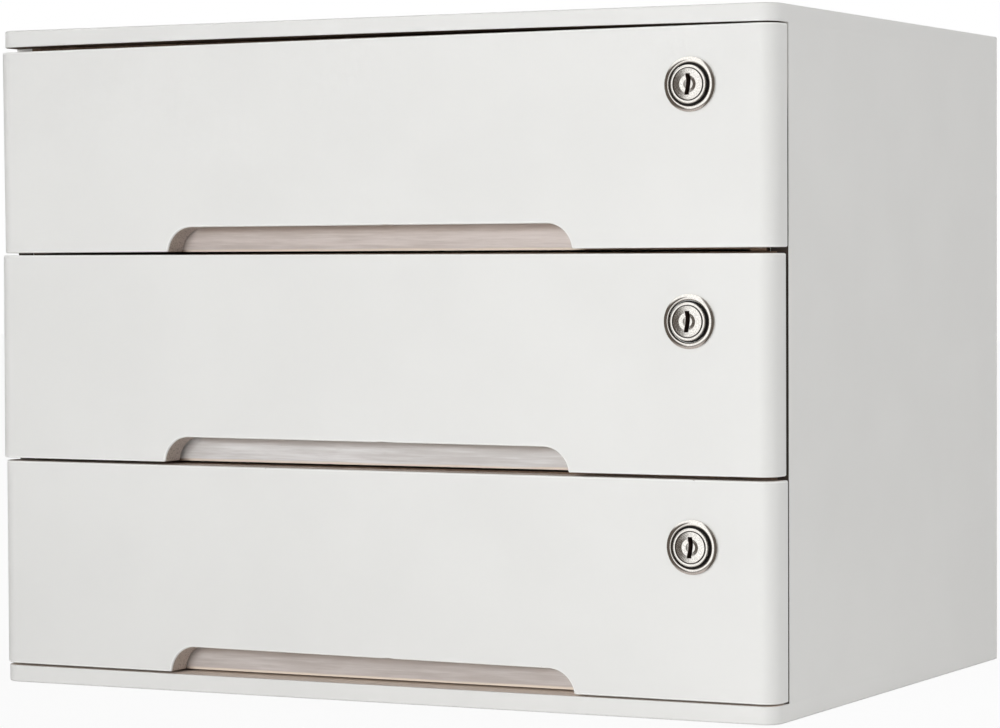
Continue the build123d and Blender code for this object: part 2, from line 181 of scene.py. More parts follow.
# Directions between which the lights that metal mirrors fade, as parts of a unit vector
BOX_LEFT = (-0.5, -0.4)
BOX_RIGHT = (0.0, 0.25)
BOX_BACK = (-0.4, -0.1)
BOX_FOOT = (-0.5, -0.3)
CEILING_FOOT = (0.3, 0.55)
CEILING_RIGHT = (-0.2, 0.15, 1.0, 0.1)
MIRRORED_FLOOR_TOP = (-0.7, -0.4)
MIRRORED_FLOOR_RIGHT = (0.05, 0.3)
SIDE_SPREAD = (0.3, 0.95)


# Properties

def length(name, description, default):
    """A property that holds a length in metres."""
    return FloatProperty(
        name=name, description=description, default=default, precision=5, unit="LENGTH", subtype="DISTANCE"
    )


def angle(name, description, degrees):
    """A property that holds an angle, given in degrees."""
    return FloatProperty(
        name=name, description=description, default=math.radians(degrees), precision=4, subtype="ANGLE"
    )


def colour(name, description, default):
    """A property that holds a linear colour."""
    return FloatVectorProperty(
        name=name, description=description, default=default, size=3, min=0, max=1, subtype="COLOR"
    )


def spot(name, description, default):
    """A property that holds a place in the room."""
    return FloatVectorProperty(
        name=name, description=description, default=default, size=3, unit="LENGTH", subtype="TRANSLATION"
    )


def number(name, description, default, unit="NONE", subtype="NONE"):
    """A property that holds a plain number, a power or a share."""
    return FloatProperty(name=name, description=description, default=default, unit=unit, subtype=subtype)


def shifts(name, description, default):
    """A property that holds a few small shifts in metres."""
    return FloatVectorProperty(
        name=name, description=description, default=default, size=len(default), precision=5, unit="LENGTH"
    )


CORNERS = "Rise of the upper left, upper right, lower left and lower right corner"
LEFT_CORNERS = "How far the upper and lower left corner stand out from the cabinet"


class BoardSizes(bpy.types.PropertyGroup):
    """Edges of the painted boards and sides."""

    corner_radius: length("Front corners", "Rounding of a board's front corners in plan", 0.007)
    back_corner: length("Back corners", "Rounding of the upright back edges", 0.0006)
    rim_round: length("Outer rim", "Rounding of a board's outer edges", 0.0008)
    lip_round: length("Inner lip", "Rounding of a board's inner edge where it shows over the fronts", 0.0004)
    lip_rise: length("Lip rise", "How far the top board's inner lip is hollowed in its middle", 0.0006)
    paint_wrap: length("Paint wrap", "How far the paint runs in over a board's inner face", 0.0008)
    side_edge: length("Side edge", "Rounding of a side's upright front edges", 0.0003)


class FrontSizes(bpy.types.PropertyGroup):
    """Shape of the drawer fronts and how they sit in the photograph."""

    corner_radius: length("Upright edges", "Rounding of a front's upright edges in plan", 0.007)
    rim_round: length("Rim", "Rounding of a front's upper and lower edges", 0.00075)
    paint_wrap: length("Paint wrap", "How far the paint runs round on to the edges", 0.0013)
    pull_width: length("Cut-out width", "Width of the finger cut-out", 0.188)
    pull_height: length("Cut-out height", "Height of the finger cut-out", 0.0103)
    pull_bend: length("Cut-out bend", "Radius of the cut-out's two ends", 0.0113)
    pull_offset: length("Cut-out offset", "How far the cut-out lies to the right of the middle", -0.0016)
    foot_round: length("Cut-out feet", "Rounding of the cut-out's two lower corners", 0.0008)
    nick_depth: length("Nick depth", "Depth of the small mark that the router left in the cut-out", 0.00028)
    nick_width: length("Nick width", "Width of that mark", 0.0016)
    nick_offset: length("Nick offset", "Place of that mark along the cut-out", 0.0105)
    bore_radius: length("Lock bore", "Radius of the bore for the lock", 0.0082)
    middle_gap: length("Middle front's gap", "How far the middle front stops short at its right end", 0.0007)
    top_lift: shifts("Top front's lift", CORNERS, (-0.00095, 0.0007, 0.0, 0.0009))
    middle_lift: shifts("Middle front's lift", CORNERS, (0.0004, -0.0001, 0.0005, -0.0001))
    bottom_lift: shifts("Bottom front's lift", CORNERS, (0.0005, -0.0003, 0.0002, -0.0001))
    top_lean: shifts("Top front's lean", LEFT_CORNERS, (0.002, 0.0008))
    middle_lean: shifts("Middle front's lean", LEFT_CORNERS, (0.0024, 0.0026))
    bottom_lean: shifts("Bottom front's lean", LEFT_CORNERS, (0.001, 0.0008))
    pull_shifts: shifts("Cut-out shifts", "Sideways shifts, from the bottom up", (0.0007, -0.0008, 0.0003))
    pull_tilts: shifts("Cut-out tilts", "Rises to the right, from the bottom up", (-0.0011, -0.0006, -0.0002))


class LockSizes(bpy.types.PropertyGroup):
    """Radii and stands of the key locks, from the lock's axis and the face of the front."""

    ring_radius: length("Trim ring", "Outer radius of the trim ring", 0.0108)
    ring_slope: angle("Ring slope", "Slope of the ring's band at its outer edge", 40)
    ring_round: length("Ring edge", "Rounding of the ring's outer edge", 0.00015)
    crown_radius: length("Crown", "Radius of the ring's crown", 0.009)
    crown_stand: length("Crown stand", "Stand of the ring's crown", 0.0015)
    mouth_radius: length("Mouth", "Radius of the ring's mouth", 0.0085)
    flange_radius: length("Flange", "Radius of the barrel's flange under the ring", 0.0095)
    flange_stand: length("Flange stand", "Thickness of the flange", 0.0008)
    stub_radius: length("Stub", "Radius of the barrel's stub", 0.0076)
    stub_stand: length("Stub stand", "How far the stub stands proud", 0.0024)
    stub_bore: length("Stub bore", "Radius of the barrel's bore", 0.00645)
    body_radius: length("Body", "Radius of the barrel's threaded body", 0.008)
    thread_pitch: length("Thread pitch", "Pitch of the barrel's thread", 0.001)
    thread_depth: length("Thread depth", "Depth of the barrel's thread", 0.0004)
    tail_hole: length("Tail hole", "Radius of the hole that the plug's tail turns in", 0.00425)
    end_wall: length("End wall", "Thickness of the barrel's end wall", 0.0022)
    turn_gap: length("Turning gap", "Gap between the plug's shoulder and the barrel's end wall", 0.00025)
    plug_radius: length("Plug", "Radius of the turning plug", 0.0062)
    plug_stand: length("Plug stand", "How far the plug's face stands proud", 0.00265)
    dimple_radius: length("Dimple", "Radius of the dished middle of the plug's face", 0.0034)
    dimple_depth: length("Dimple depth", "Depth of the dish", 0.0003)
    dimple_floor: length("Dimple floor", "Radius of the dish's floor", 0.0021)
    dimple_dome: length("Dimple dome", "How far the dish's floor falls away to its edge", 0.00007)
    face_dome: length("Face dome", "How far the plug's face falls away to its edge", 0.00022)
    tail_radius: length("Tail", "Radius of the plug's tail", 0.004)
    tail_square: length("Tail square", "Width of the square that carries the cam", 0.0056)
    slot_height: length("Key slot height", "Height of the key slot", 0.0084)
    slot_width: length("Key slot width", "Width of the key slot", 0.0019)
    slot_step: length("Key slot step", "Sideways step between the key slot's upper and lower half", 0.0002)
    slot_bow: length("Key slot bow", "Sideways bow of the key slot's middle", 0.00016)
    slot_depth: length("Key slot depth", "Depth of the key slot", 0.012)


class Finishes(bpy.types.PropertyGroup):
    """Colours of the paint, the woods and the metals."""

    paint: colour("Paint", "White paint of the boards, sides and fronts", (0.82, 0.818, 0.8))
    top_wash: colour("Top box", "Wash on the top drawer's box", (0.741, 0.677, 0.646))
    middle_wash: colour("Middle box", "Wash on the middle drawer's box", (0.834, 0.829, 0.827))
    bottom_wash: colour("Bottom box", "Wash on the bottom drawer's box", (0.66, 0.62, 0.602))
    wash_grain: colour("Limed grain", "How the grain tints the wash", (0.78, 0.76, 0.745))
    raw_edge: colour("Raw edge", "Sanded lower edge of the drawer boxes", (0.88, 0.77, 0.66))
    board_top: colour("Board top", "Washed upper face of the bottom board", (0.96, 0.87, 0.79))
    # Painted highlight: a paler white along the paint's rims, for the light that they catch
    paint_edge: colour("Paint edge", "Paint where it has gathered at the rims", (0.93, 0.93, 0.91))
    sawn: colour("Sawn edge", "Bare sawn edge of the cut-outs, at the face", (0.62, 0.54, 0.475))
    sawn_back: colour("Sawn edge, back", "Bare sawn edge of the cut-outs, at the box", (0.72, 0.64, 0.59))
    wood: colour("Bare wood", "Unpainted wood inside the cabinet", (0.24, 0.16, 0.108))
    wood_grain: colour("Bare grain", "Darker grain of the unpainted wood", (0.13, 0.08, 0.052))
    # Painted shade: near black on the sides' front edges, which show in the gaps beside the fronts
    soot: colour("Dark edges", "Sides' front edges behind the fronts", (0.05, 0.038, 0.03))
    divider: colour("Dividers", "Dark hardboard of the dividers and rails", (0.27, 0.185, 0.13))
    divider_grain: colour("Divider fibres", "Darker fibres of the hardboard", (0.15, 0.1, 0.07))
    sheet: colour("Thin board", "Thin board of the back and the drawer bottoms", (0.5, 0.37, 0.25))
    sheet_grain: colour("Thin board grain", "Darker grain of the thin board", (0.38, 0.26, 0.165))
    dowel: colour("Dowels", "Beech dowels", (0.55, 0.38, 0.24))
    nickel: colour("Lock nickel", "Nickel plating of the locks", (0.83, 0.805, 0.76))
    # Painted shade: near black laid in the locks' crevices
    grime: colour("Grime", "Dark crevices of the locks", (0.012, 0.01, 0.009))
    # Painted shade: the key slots' insides are near-black brown, with paler specks
    slot_shade: colour("Key slot", "Oily inside of the key slots", (0.07, 0.046, 0.038))
    slot_shade_speck: colour("Key slot specks", "Paler specks inside the key slots", (0.24, 0.16, 0.125))
    zinc: colour("Zinc", "Zinc plating of the screws, nuts and cams", (0.56, 0.56, 0.53))


class Studio(bpy.types.PropertyGroup):
    """Camera, lamp, room and floor."""

    camera_place: spot("Camera", "Place of the camera", (0.7168, -1.4284, 0.1816))
    heading: angle("Heading", "Turn of the camera about the upright", 26.81)
    pitch: angle("Pitch", "How far the camera looks down", 1.669)
    roll: angle("Roll", "Turn of the camera about its own line of sight", -0.235)
    lens: number("Lens", "Focal length for a sensor 36 mm wide", 130.67, "CAMERA")
    key_place: spot("Key lamp", "Place of the key lamp", (-0.42, -2.61, 0.11))
    key_aim: spot("Key aim", "Point that the key lamp faces, low on the right", (1.43, -1.91, -2.9))
    key_width: length("Key lamp width", "Width of the key lamp", 1.82)
    key_power: number("Key power", "Power of the key lamp", 118, "POWER")
    room: number("Room light", "Strength of the light all round", 0.36)
    side_toward: FloatVectorProperty(
        name="Side light", description="Direction that the side light comes from",
        default=(0.64, 0.76, 0.05), subtype="DIRECTION",
    )
    side_glow: number("Side glow", "Strength that the side light adds", 1.55)
    box_glow: number("Soft box", "Strength of the soft box that metal mirrors", 1.35)
    dim: colour("Dim room", "What metal mirrors to either side of the soft box", (0.14, 0.12, 0.106))
    below: colour("Mirrored floor", "What metal mirrors of the floor", (0.62, 0.57, 0.55))
    floor_width: length("Floor width", "Width of the floor", 12.0)
    floor_colour: colour("Floor", "Colour of the floor", (0.86, 0.86, 0.86))
    floor_glow: number("Floor glow", "Share of the floor that shows plain white", 0.92, subtype="FACTOR")


# Node materials

class Recipe:
    """A material's node tree, put together node by node."""

    def __init__(self, name, roughness, metallic=0.0, store="materials"):
        self.material = getattr(bpy.data, store).new(name)
        self.material.use_nodes = True
        self.tree = self.material.node_tree
        self.shader = self.tree.nodes.get("Principled BSDF")
        if self.shader:
            self.shader.inputs["Roughness"].default_value = roughness
            self.shader.inputs["Metallic"].default_value = metallic

    def feed(self, socket, value):
        """Link a socket to another node's output, or set its value."""
        if isinstance(value, bpy.types.NodeSocket):
            self.tree.links.new(value, socket)
        elif socket.type == "RGBA" and len(value) == 3:
            socket.default_value = (*value, 1.0)
        else:
            socket.default_value = value

    def node(self, kind, feeds, **settings):
        """Add a node with its settings and what feeds its sockets."""
        made = self.tree.nodes.new(kind)
        for key, value in settings.items():
            setattr(made, key, value)
        for key, value in feeds.items():
            self.feed(made.inputs[key], value)
        return made

    def place(self, stretch=(1, 1, 1), offset=(0, 0, 0)):
        """Object coordinates, stretched and moved."""
        where = self.node("ShaderNodeTexCoord", {}).outputs["Object"]
        feeds = {"Vector": where, "Scale": stretch, "Location": offset}
        return self.node("ShaderNodeMapping", feeds).outputs["Vector"]

    def noise(self, place, scale, detail=2.0, roughness=0.5, distortion=0.0):
        """Soft noise from 0 to 1."""
        feeds = {"Vector": place, "Scale": scale, "Detail": detail, "Roughness": roughness}
        return self.node("ShaderNodeTexNoise", {**feeds, "Distortion": distortion}).outputs[0]

    def ease(self, value, start, end, low=0.0, high=1.0):
        """A smooth step of a value, from low at start to high at end."""
        feeds = {"Value": value, "From Min": start, "From Max": end, "To Min": low, "To Max": high}
        return self.node("ShaderNodeMapRange", feeds, interpolation_type="SMOOTHSTEP").outputs["Result"]

    def sum(self, first, second, operation="ADD"):
        """Two values put together by an operation."""
        return self.node("ShaderNodeMath", {0: first, 1: second}, operation=operation).outputs[0]

    def times(self, first, second):
        """Two values multiplied."""
        return self.sum(first, second, "MULTIPLY")

    def mix(self, share, first, second):
        """Two colours mixed by a share."""
        feeds = {0: share, 6: first, 7: second}
        return self.node("ShaderNodeMix", feeds, data_type="RGBA").outputs[2]

    def attribute(self, name):
        """A value that the piece's mesh carries."""
        return self.node("ShaderNodeAttribute", {}, attribute_name=name).outputs["Fac"]

    def relief(self, height, depth):
        """Bump the surface by a height from 0 to 1, that many metres deep."""
        feeds = {"Height": height, "Distance": depth, "Strength": 1.0}
        self.feed(self.shader.inputs["Normal"], self.node("ShaderNodeBump", feeds).outputs["Normal"])

    def finish(self, base, roughness=None):
        """Feed the shader's colour, and its roughness where that varies."""
        self.feed(self.shader.inputs["Base Color"], base)
        if roughness is not None:
            self.feed(self.shader.inputs["Roughness"], roughness)
        return self.material


def finishes():
    """The scene's colours."""
    return bpy.context.scene.cabinet_finishes


def shade(tone, share):
    """A colour darkened to a share of itself."""
    return [share * part for part in tone]


def grain_stretch(along, length_scale, cross_scale):
    """Noise scales that draw grain out along one axis."""
    return [length_scale if axis == along else cross_scale for axis in "xyz"]


def satin_white_paint():
    """White paint with a faint roller texture, a painted highlight and wear that leaves it thin at the rims,
    over wood that shows where it is bare. The mesh says where its rims, its bare faces and its cut-outs'
    depth are, and which edges are darkened with painted shade."""
    tones = finishes()
    recipe = Recipe("satin_white_paint", PAINT_ROUGH)
    place = recipe.place()
    edge, bare, depth, soot = (recipe.attribute(name) for name in ("edge", "bare", "depth", "soot"))
    cloud = recipe.noise(place, PAINT_CLOUDS, 3.0)
    white = recipe.mix(recipe.ease(cloud, *SOFT), shade(tones.paint, PAINT_DULL), tones.paint)
    # Painted highlight: paler white along the rims
    white = recipe.mix(recipe.times(edge, RIM_HIGHLIGHT), white, tones.paint_edge)
    grain = recipe.noise(recipe.place(grain_stretch("x", *PAINT_GRAIN)), 1.0, 3.0)
    wood = recipe.mix(recipe.ease(grain, *GRAIN_SPREAD), tones.wood_grain, tones.wood)
    # Painted shade: the sides' front edges are coloured near black where they show in the gaps
    wood = recipe.mix(soot, wood, tones.soot)
    fibre = recipe.noise(place, SAWN_FIBRES, 3.0)
    sawn = recipe.mix(recipe.ease(depth, 0.0, 1.0), tones.sawn, tones.sawn_back)
    sawn = recipe.mix(recipe.ease(fibre, *SAWN_DARK), sawn, tones.wood_grain)
    sawn = recipe.mix(recipe.ease(depth, *BOARD_TOP_DEPTH), sawn, tones.board_top)
    wood = recipe.mix(recipe.ease(depth, *CUT_DEPTH), wood, sawn)
    fray = recipe.noise(place, PAINT_FRAY, 3.0)
    ragged = recipe.ease(recipe.sum(bare, recipe.times(fray, FRAY_SHARE)), *FRAY_EDGE)
    patch = recipe.noise(place, PAINT_CHIPS, 4.0, 0.65)
    worn = recipe.times(edge, recipe.ease(patch, *CHIP_EDGE))
    height = recipe.node("ShaderNodeSeparateXYZ", {0: place}).outputs[2]
    # Near the top, white paint covers the sides' front edges in place of their painted shade
    coated = recipe.times(soot, recipe.ease(height, *GAP_SHADE_TOP))
    shown = recipe.sum(recipe.sum(ragged, worn, "MAXIMUM"), coated, "SUBTRACT")
    peel = recipe.noise(place, PAINT_PEEL, 2.0)
    recipe.relief(recipe.sum(peel, recipe.times(grain, GRAIN_SHARE)), PAINT_RELIEF)
    rough = recipe.ease(shown, 0.0, 1.0, PAINT_ROUGH, SAWN_ROUGH)
    return recipe.finish(recipe.mix(shown, white, wood), rough)


def limed_wood(drawer, along, floor, cut=None):
    """Wood under a drawer's pale wash, with grain along one axis and a raw lower edge at the floor.
    Behind a cut-out that edge is sanded, and painted shade darkens the wall towards the cut-out's rim, where
    the rim casts its shadow. At x from the cut-out's middle and z above its foot the rim lies
    b - hypot(max(|x| - s, 0), z - h + b) away, for its end radius b, half its straight length s and its
    height h."""
    tones = finishes()
    pale = getattr(tones, f"{drawer}_wash")
    dark = [tone * tint for tone, tint in zip(pale, tones.wash_grain)]
    recipe = Recipe(f"limed_wood_{drawer}_{along}", LIMED_ROUGH)
    streak = recipe.noise(recipe.place(grain_stretch(along, *LIMED_STREAKS)), 1.0, 4.0, 0.6)
    pore = recipe.noise(recipe.place(grain_stretch(along, *LIMED_PORES)), 1.0, 2.0)
    cloud = recipe.noise(recipe.place(grain_stretch(along, *LIMED_CLOUDS)), 1.0, 2.0)
    uneven = recipe.sum(streak, recipe.times(recipe.ease(cloud, *SOFT), CLOUD_SHARE), "SUBTRACT")
    wash = recipe.mix(recipe.ease(uneven, *LIMED_SPREAD), dark, pale)
    wash = recipe.mix(recipe.ease(pore, *LIMED_PORE), wash, dark)
    edge = tones.wood
    offset = (0, 0, -floor)
    if cut:
        offset = (-cut.pull_offset, -span(f"{drawer}_box_front")[0][1], -floor)
    x, y, z = recipe.node("ShaderNodeSeparateXYZ", {0: recipe.place((1, 1, 1), offset)}).outputs
    if cut:
        across = recipe.sum(x, 0.0, "ABSOLUTE")
        edge = recipe.mix(recipe.ease(across, *RAW_EDGE_ENDS), tones.raw_edge, tones.wood)
        past = recipe.sum(recipe.sum(across, cut.pull_width / 2 - cut.pull_bend, "SUBTRACT"), 0.0, "MAXIMUM")
        up = recipe.sum(z, floor - span(f"{drawer}_front")[0][2] - cut.pull_height + cut.pull_bend)
        far = recipe.sum(recipe.times(past, past), recipe.times(up, up))
        rim = recipe.sum(cut.pull_bend, recipe.sum(far, 0.5, "POWER"), "SUBTRACT")
        # Painted shade on the wall's face: darker towards the cut-out's rim, where the rim casts its shadow
        face = recipe.ease(y, *WALL_FACE, *FALLING)
        grime = recipe.times(recipe.ease(rim, *PAINTED_SHADE_REACH), face)
        grime = recipe.times(grime, recipe.ease(past, *PAINTED_SHADE_ENDS))
        wash = recipe.mix(grime, wash, tones.wood)
    rough_height = recipe.sum(z, recipe.times(streak, RAW_EDGE_RAGGED))
    raw = recipe.ease(rough_height, *RAW_EDGE_TOP, *FALLING)
    recipe.relief(recipe.sum(streak, pore), LIMED_RELIEF)
    return recipe.finish(recipe.mix(raw, wash, edge), recipe.ease(streak, *LIMED_SHEEN))


def grained(name, along, light, dark, roughness, scales=WOOD_STREAKS):
    """Plain wood: long streaks of a light and a dark tone, with open pores four times as fine."""
    recipe = Recipe(name, roughness)
    streak = recipe.noise(recipe.place(grain_stretch(along, *scales)), 1.0, 4.0, 0.62, 0.4)
    pore = recipe.noise(recipe.place(grain_stretch(along, 4 * scales[0], 4 * scales[1])), 1.0, 2.0)
    base = recipe.mix(recipe.ease(streak, *SOFT), dark, light)
    base = recipe.mix(recipe.ease(pore, *WOOD_PORE), base, dark)
    recipe.relief(recipe.sum(streak, pore), WOOD_RELIEF)
    return recipe.finish(base, recipe.ease(streak, *SOFT, roughness + 0.1, roughness - 0.05))


def nickel(name, roughness, relief, dull):
    """Nickel plating with fine scuffs, where a dull share of its tone is left, and painted shade where the
    mesh
    marks a crevice: near black there, and not metallic."""
    tones = finishes()
    recipe = Recipe(name, roughness, 1.0)
    place = recipe.place()
    scuff = recipe.noise(place, NICKEL_SCUFFS, 3.0, 0.6)
    cloud = recipe.noise(place, NICKEL_CLOUDS, 2.0)
    # Painted shade: near black and not metallic where the mesh marks a crevice, its edge frayed by noise
    ragged_shade = recipe.sum(recipe.attribute("grime"), recipe.times(cloud, SHADE_CLOUD_SHARE))
    shade_share = recipe.ease(ragged_shade, *PAINTED_SHADE_EDGE)
    plate = recipe.mix(recipe.ease(scuff, *SCUFF_SPREAD), shade(tones.nickel, dull), tones.nickel)
    recipe.feed(recipe.shader.inputs["Metallic"], recipe.ease(shade_share, 0.0, 1.0, *FALLING))
    recipe.relief(scuff, relief)
    scuffed = recipe.ease(scuff, *SCUFF_SPREAD, roughness, 0.6 * roughness)
    rough = recipe.sum(scuffed, recipe.times(shade_share, PAINTED_SHADE_ROUGH))
    return recipe.finish(recipe.mix(shade_share, plate, tones.grime), rough)


def polished_nickel():
    """The smooth plating of the rings and barrels."""
    name = "polished_nickel"
    return shared(name, lambda: nickel(name, POLISHED_ROUGH, POLISHED_RELIEF, POLISHED_DULL))


def worn_nickel():
    """The scuffed plating of the plugs."""
    name = "worn_nickel"
    return shared(name, lambda: nickel(name, WORN_ROUGH, WORN_RELIEF, WORN_DULL))


def keyway_dark():
    """The inside of a key slot, painted near-black brown as shade, with paler specks."""
    tones = finishes()
    recipe = Recipe("keyway_dark", KEY_SLOT_ROUGH)
    speck = recipe.noise(recipe.place(), KEY_SLOT_SPECKS, 3.0)
    return recipe.finish(recipe.mix(recipe.ease(speck, *SPECK_SPREAD), tones.slot_shade, tones.slot_shade_speck))


def zinc_steel():
    """Zinc plated steel, dull and a little blotched."""
    tones = finishes()
    recipe = Recipe("zinc_steel", ZINC_ROUGH, 1.0)
    blotch = recipe.noise(recipe.place(), ZINC_BLOTCHES, 4.0, 0.6)
    recipe.relief(blotch, ZINC_RELIEF)
    base = recipe.mix(recipe.ease(blotch, *SOFT), shade(tones.zinc, ZINC_DULL), tones.zinc)
    return recipe.finish(base, recipe.ease(blotch, *ZINC_SHEEN))


def shared(name, make):
    """A material by name, made the first time that it is asked for."""
    return bpy.data.materials.get(name) or make()


def paint():
    """The white paint."""
    return shared("satin_white_paint", satin_white_paint)


def bare_wood(along="x"):
    """Unpainted wood with its grain along one axis."""
    tones = finishes()
    name = f"bare_wood_{along}"
    return shared(name, lambda: grained(name, along, tones.wood, tones.wood_grain, WOOD_ROUGH))


def thin_board(along):
    """The thin board of the back and the drawer bottoms, with its grain along one axis."""
    tones = finishes()
    name = f"thin_board_{along}"
    return shared(name, lambda: grained(name, along, tones.sheet, tones.sheet_grain, SHEET_ROUGH))


# Surfaces

def span(node):
    """The lowest and the highest corner of a CAD node."""
    low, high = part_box(node)
    return np.array(low), np.array(high)


def grid_quads(rows, columns, around=False, along=False):
    """Corner numbers of a grid's quads.
    The columns close on themselves where around is set, the rows where along is."""
    row = np.arange(rows if along else rows - 1)[:, None]
    column = np.arange(columns if around else columns - 1)[None, :]
    next_row = (row + 1) % rows
    next_column = (column + 1) % columns
    corners = (
        row * columns + column,
        row * columns + next_column,
        next_row * columns + next_column,
        next_row * columns + column,
    )
    return np.stack(corners, -1).reshape(-1, 4)


def store(mesh, key, values):
    """Keep one value for each of a mesh's points, as an attribute."""
    values = np.asarray(values, np.float32).ravel()
    mesh.attributes.new(key, "FLOAT", "POINT").data.foreach_set("value", values)


def new_piece(name, points, quads, caps=(), marks=None):
    """A mesh object from points and faces, with doubles merged and normals outwards.
    Marks are values on its points."""
    mesh = bpy.data.meshes.new(name)
    mesh.from_pydata(points.reshape(-1, 3), (), quads.tolist() + [list(cap) for cap in caps])
    for key, values in (marks or {}).items():
        store(mesh, key, values)
    shape = bmesh.new()
    shape.from_mesh(mesh)
    bmesh.ops.remove_doubles(shape, verts=shape.verts, dist=MERGE)
    bmesh.ops.dissolve_degenerate(shape, edges=shape.edges, dist=MERGE)
    bmesh.ops.recalc_face_normals(shape, faces=shape.faces)
    shape.to_mesh(mesh)
    shape.free()
    piece = bpy.data.objects.new(name, mesh)
    bpy.context.scene.collection.objects.link(piece)
    return piece


def carve(piece, *cutters):
    """Cut closed shapes out of a piece. The cut faces take the cutter's material."""
    for cutter in cutters:
        cut = piece.modifiers.new("cut", "BOOLEAN")
        cut.operation = "DIFFERENCE"
        cut.solver = "EXACT"
        cut.material_mode = "TRANSFER"
        cut.object = cutter
    bpy.context.view_layer.update()
    solved = piece.evaluated_get(bpy.context.evaluated_depsgraph_get())
    mesh = bpy.data.meshes.new_from_object(solved)
    piece.modifiers.clear()
    uncut = piece.data
    piece.data = mesh
    bpy.data.meshes.remove(uncut)
    for cutter in cutters:
        bpy.data.meshes.remove(cutter.data)


def points_of(mesh):
    """All the points of a mesh, as one array."""
    points = np.empty(3 * len(mesh.vertices), np.float32)
    mesh.vertices.foreach_get("co", points)
    return points.reshape(-1, 3)


def mark(piece, name, rule):
    """Store a value on each point of a piece, worked out from all the points at once."""
    store(piece.data, name, rule(points_of(piece.data).astype(float)))


def dress(piece, body, slot, *nodes):
    """Shade a piece, put it on its body and let it stand for its CAD nodes."""
    piece.data.shade_smooth()
    piece.data.set_sharp_from_angle(angle=SHARP)
    even = piece.modifiers.new("even_shading", "WEIGHTED_NORMAL")
    even.keep_sharp = True
    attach(piece, body)
    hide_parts(*nodes)


def fillet_corners(corners, radii, steps=ARC_STEPS):
    """Round the corners of a closed outline.
    Each corner becomes an arc of its radius, tangent to both runs: its centre lies on the bisector, and its
    points turn evenly from one tangent point to the other. A radius of 0 keeps the corner."""
    corners = np.asarray(corners, float)
    radius = np.broadcast_to(np.asarray(radii, float), len(corners))[:, None]
    before = np.roll(corners, 1, 0) - corners
    after = np.roll(corners, -1, 0) - corners
    before /= np.linalg.norm(before, axis=1, keepdims=True)
    after /= np.linalg.norm(after, axis=1, keepdims=True)
    inner = np.arccos(np.clip(np.sum(before * after, 1, keepdims=True), -1, 1))
    bisector = before + after
    bisector /= np.maximum(np.linalg.norm(bisector, axis=1, keepdims=True), MERGE)
    centre = corners + bisector * radius / np.sin(inner / 2)
    start = corners + before * radius / np.tan(inner / 2) - centre
    end = corners + after * radius / np.tan(inner / 2) - centre
    sweep = (math.pi - inner)[:, None]
    share = np.linspace(0, 1, steps)[None, :, None]
    arcs = np.sin((1 - share) * sweep) * start[:, None] + np.sin(share * sweep) * end[:, None]
    points = (centre[:, None] + arcs / np.maximum(np.sin(sweep), MERGE)).reshape(-1, 2)
    apart = np.linalg.norm(points - np.roll(points, 1, 0), axis=1) > MERGE
    return points[apart]


def mitres(outline):
    """Outward vectors at the points of a closed outline, which offset both runs of a corner by one unit."""
    run = np.roll(outline, -1, 0) - outline
    run /= np.linalg.norm(run, axis=1, keepdims=True)
    after = np.stack([run[:, 1], -run[:, 0]], 1)
    before = np.roll(after, 1, 0)
    return (before + after) / (1 + np.sum(before * after, 1, keepdims=True))


def rounded_prism(name, outline, low, high, low_rim=0.0, high_rim=0.0, cap_inset=0.0, order=(0, 1, 2)):
    """A closed outline, anticlockwise, carried from a low to a high level with rounded rims.
    At the angle t a rim's row lies r(1 - cos t) inside the outline and r(1 - sin t) short of the end.
    Each end has one more row further in, and order says which axes the outline's two and the level are."""
    out = mitres(outline)
    turn = np.linspace(0, QUARTER, RIM_STEPS)[:, None]
    low_rim, high_rim = (np.broadcast_to(rim, len(outline))[None, :] for rim in (low_rim, high_rim))
    low_inset = low_rim * (1 - np.cos(turn[::-1]))
    low_level = low + low_rim * (1 - np.sin(turn[::-1]))
    high_inset = high_rim * (1 - np.cos(turn))
    high_level = high - high_rim * (1 - np.sin(turn))
    inset = np.vstack([low_inset[:1] + cap_inset, low_inset, high_inset, high_inset[-1:] + cap_inset])
    level = np.vstack([low_level[:1], low_level, high_level, high_level[-1:]])
    inset = inset[..., None]
    flat = np.clip(outline - out * inset, outline.min(0) + inset, outline.max(0) - inset)
    points = np.concatenate([flat, level[..., None]], -1)[..., np.argsort(order)]
    rows, columns = points.shape[:2]
    last = (rows - 1) * columns
    caps = (range(columns), range(last, last + columns))
    return new_piece(name, points, grid_quads(rows, columns, around=True), caps)


def box_cutter(low, high, material):
    """A plain box to carve with."""
    outline = np.array([(low[0], low[1]), (high[0], low[1]), (high[0], high[1]), (low[0], high[1])])
    cutter = rounded_prism("cutter", outline, low[2], high[2])
    cutter.data.materials.append(material)
    return cutter


def circle(radius, x, y):
    """A closed round outline."""
    turn = np.linspace(0, 2 * math.pi, ROUND_STEPS, endpoint=False)
    return np.stack([x + radius * np.cos(turn), y + radius * np.sin(turn)], 1)


def revolved(name, profile, axis, closed):
    """A profile of radius and stand carried round a lock's axis: x and z follow the circle, y the stand.
    A closed profile makes a ring, and an open one starts and ends on the axis."""
    turn = np.linspace(0, 2 * math.pi, ROUND_STEPS, endpoint=False)[None, :]
    radius, stand = profile[:, :1], profile[:, 1:]
    x = axis[0] + radius * np.cos(turn)
    z = axis[2] + radius * np.sin(turn)
    y = np.broadcast_to(axis[1] - stand, x.shape)
    points = np.stack([x, y, z], -1)
    return new_piece(name, points, grid_quads(len(profile), ROUND_STEPS, around=True, along=closed))


# Boards and sides

def back_rebate(material):
    """The rebate that the back panel lies in, as a cutter through the back of the carcass."""
    low, high = span("back_panel")
    grown = np.array([FIT, 0, FIT])
    return box_cutter(low - grown, high + grown + (0, 2 * OVERRUN, 0), material)


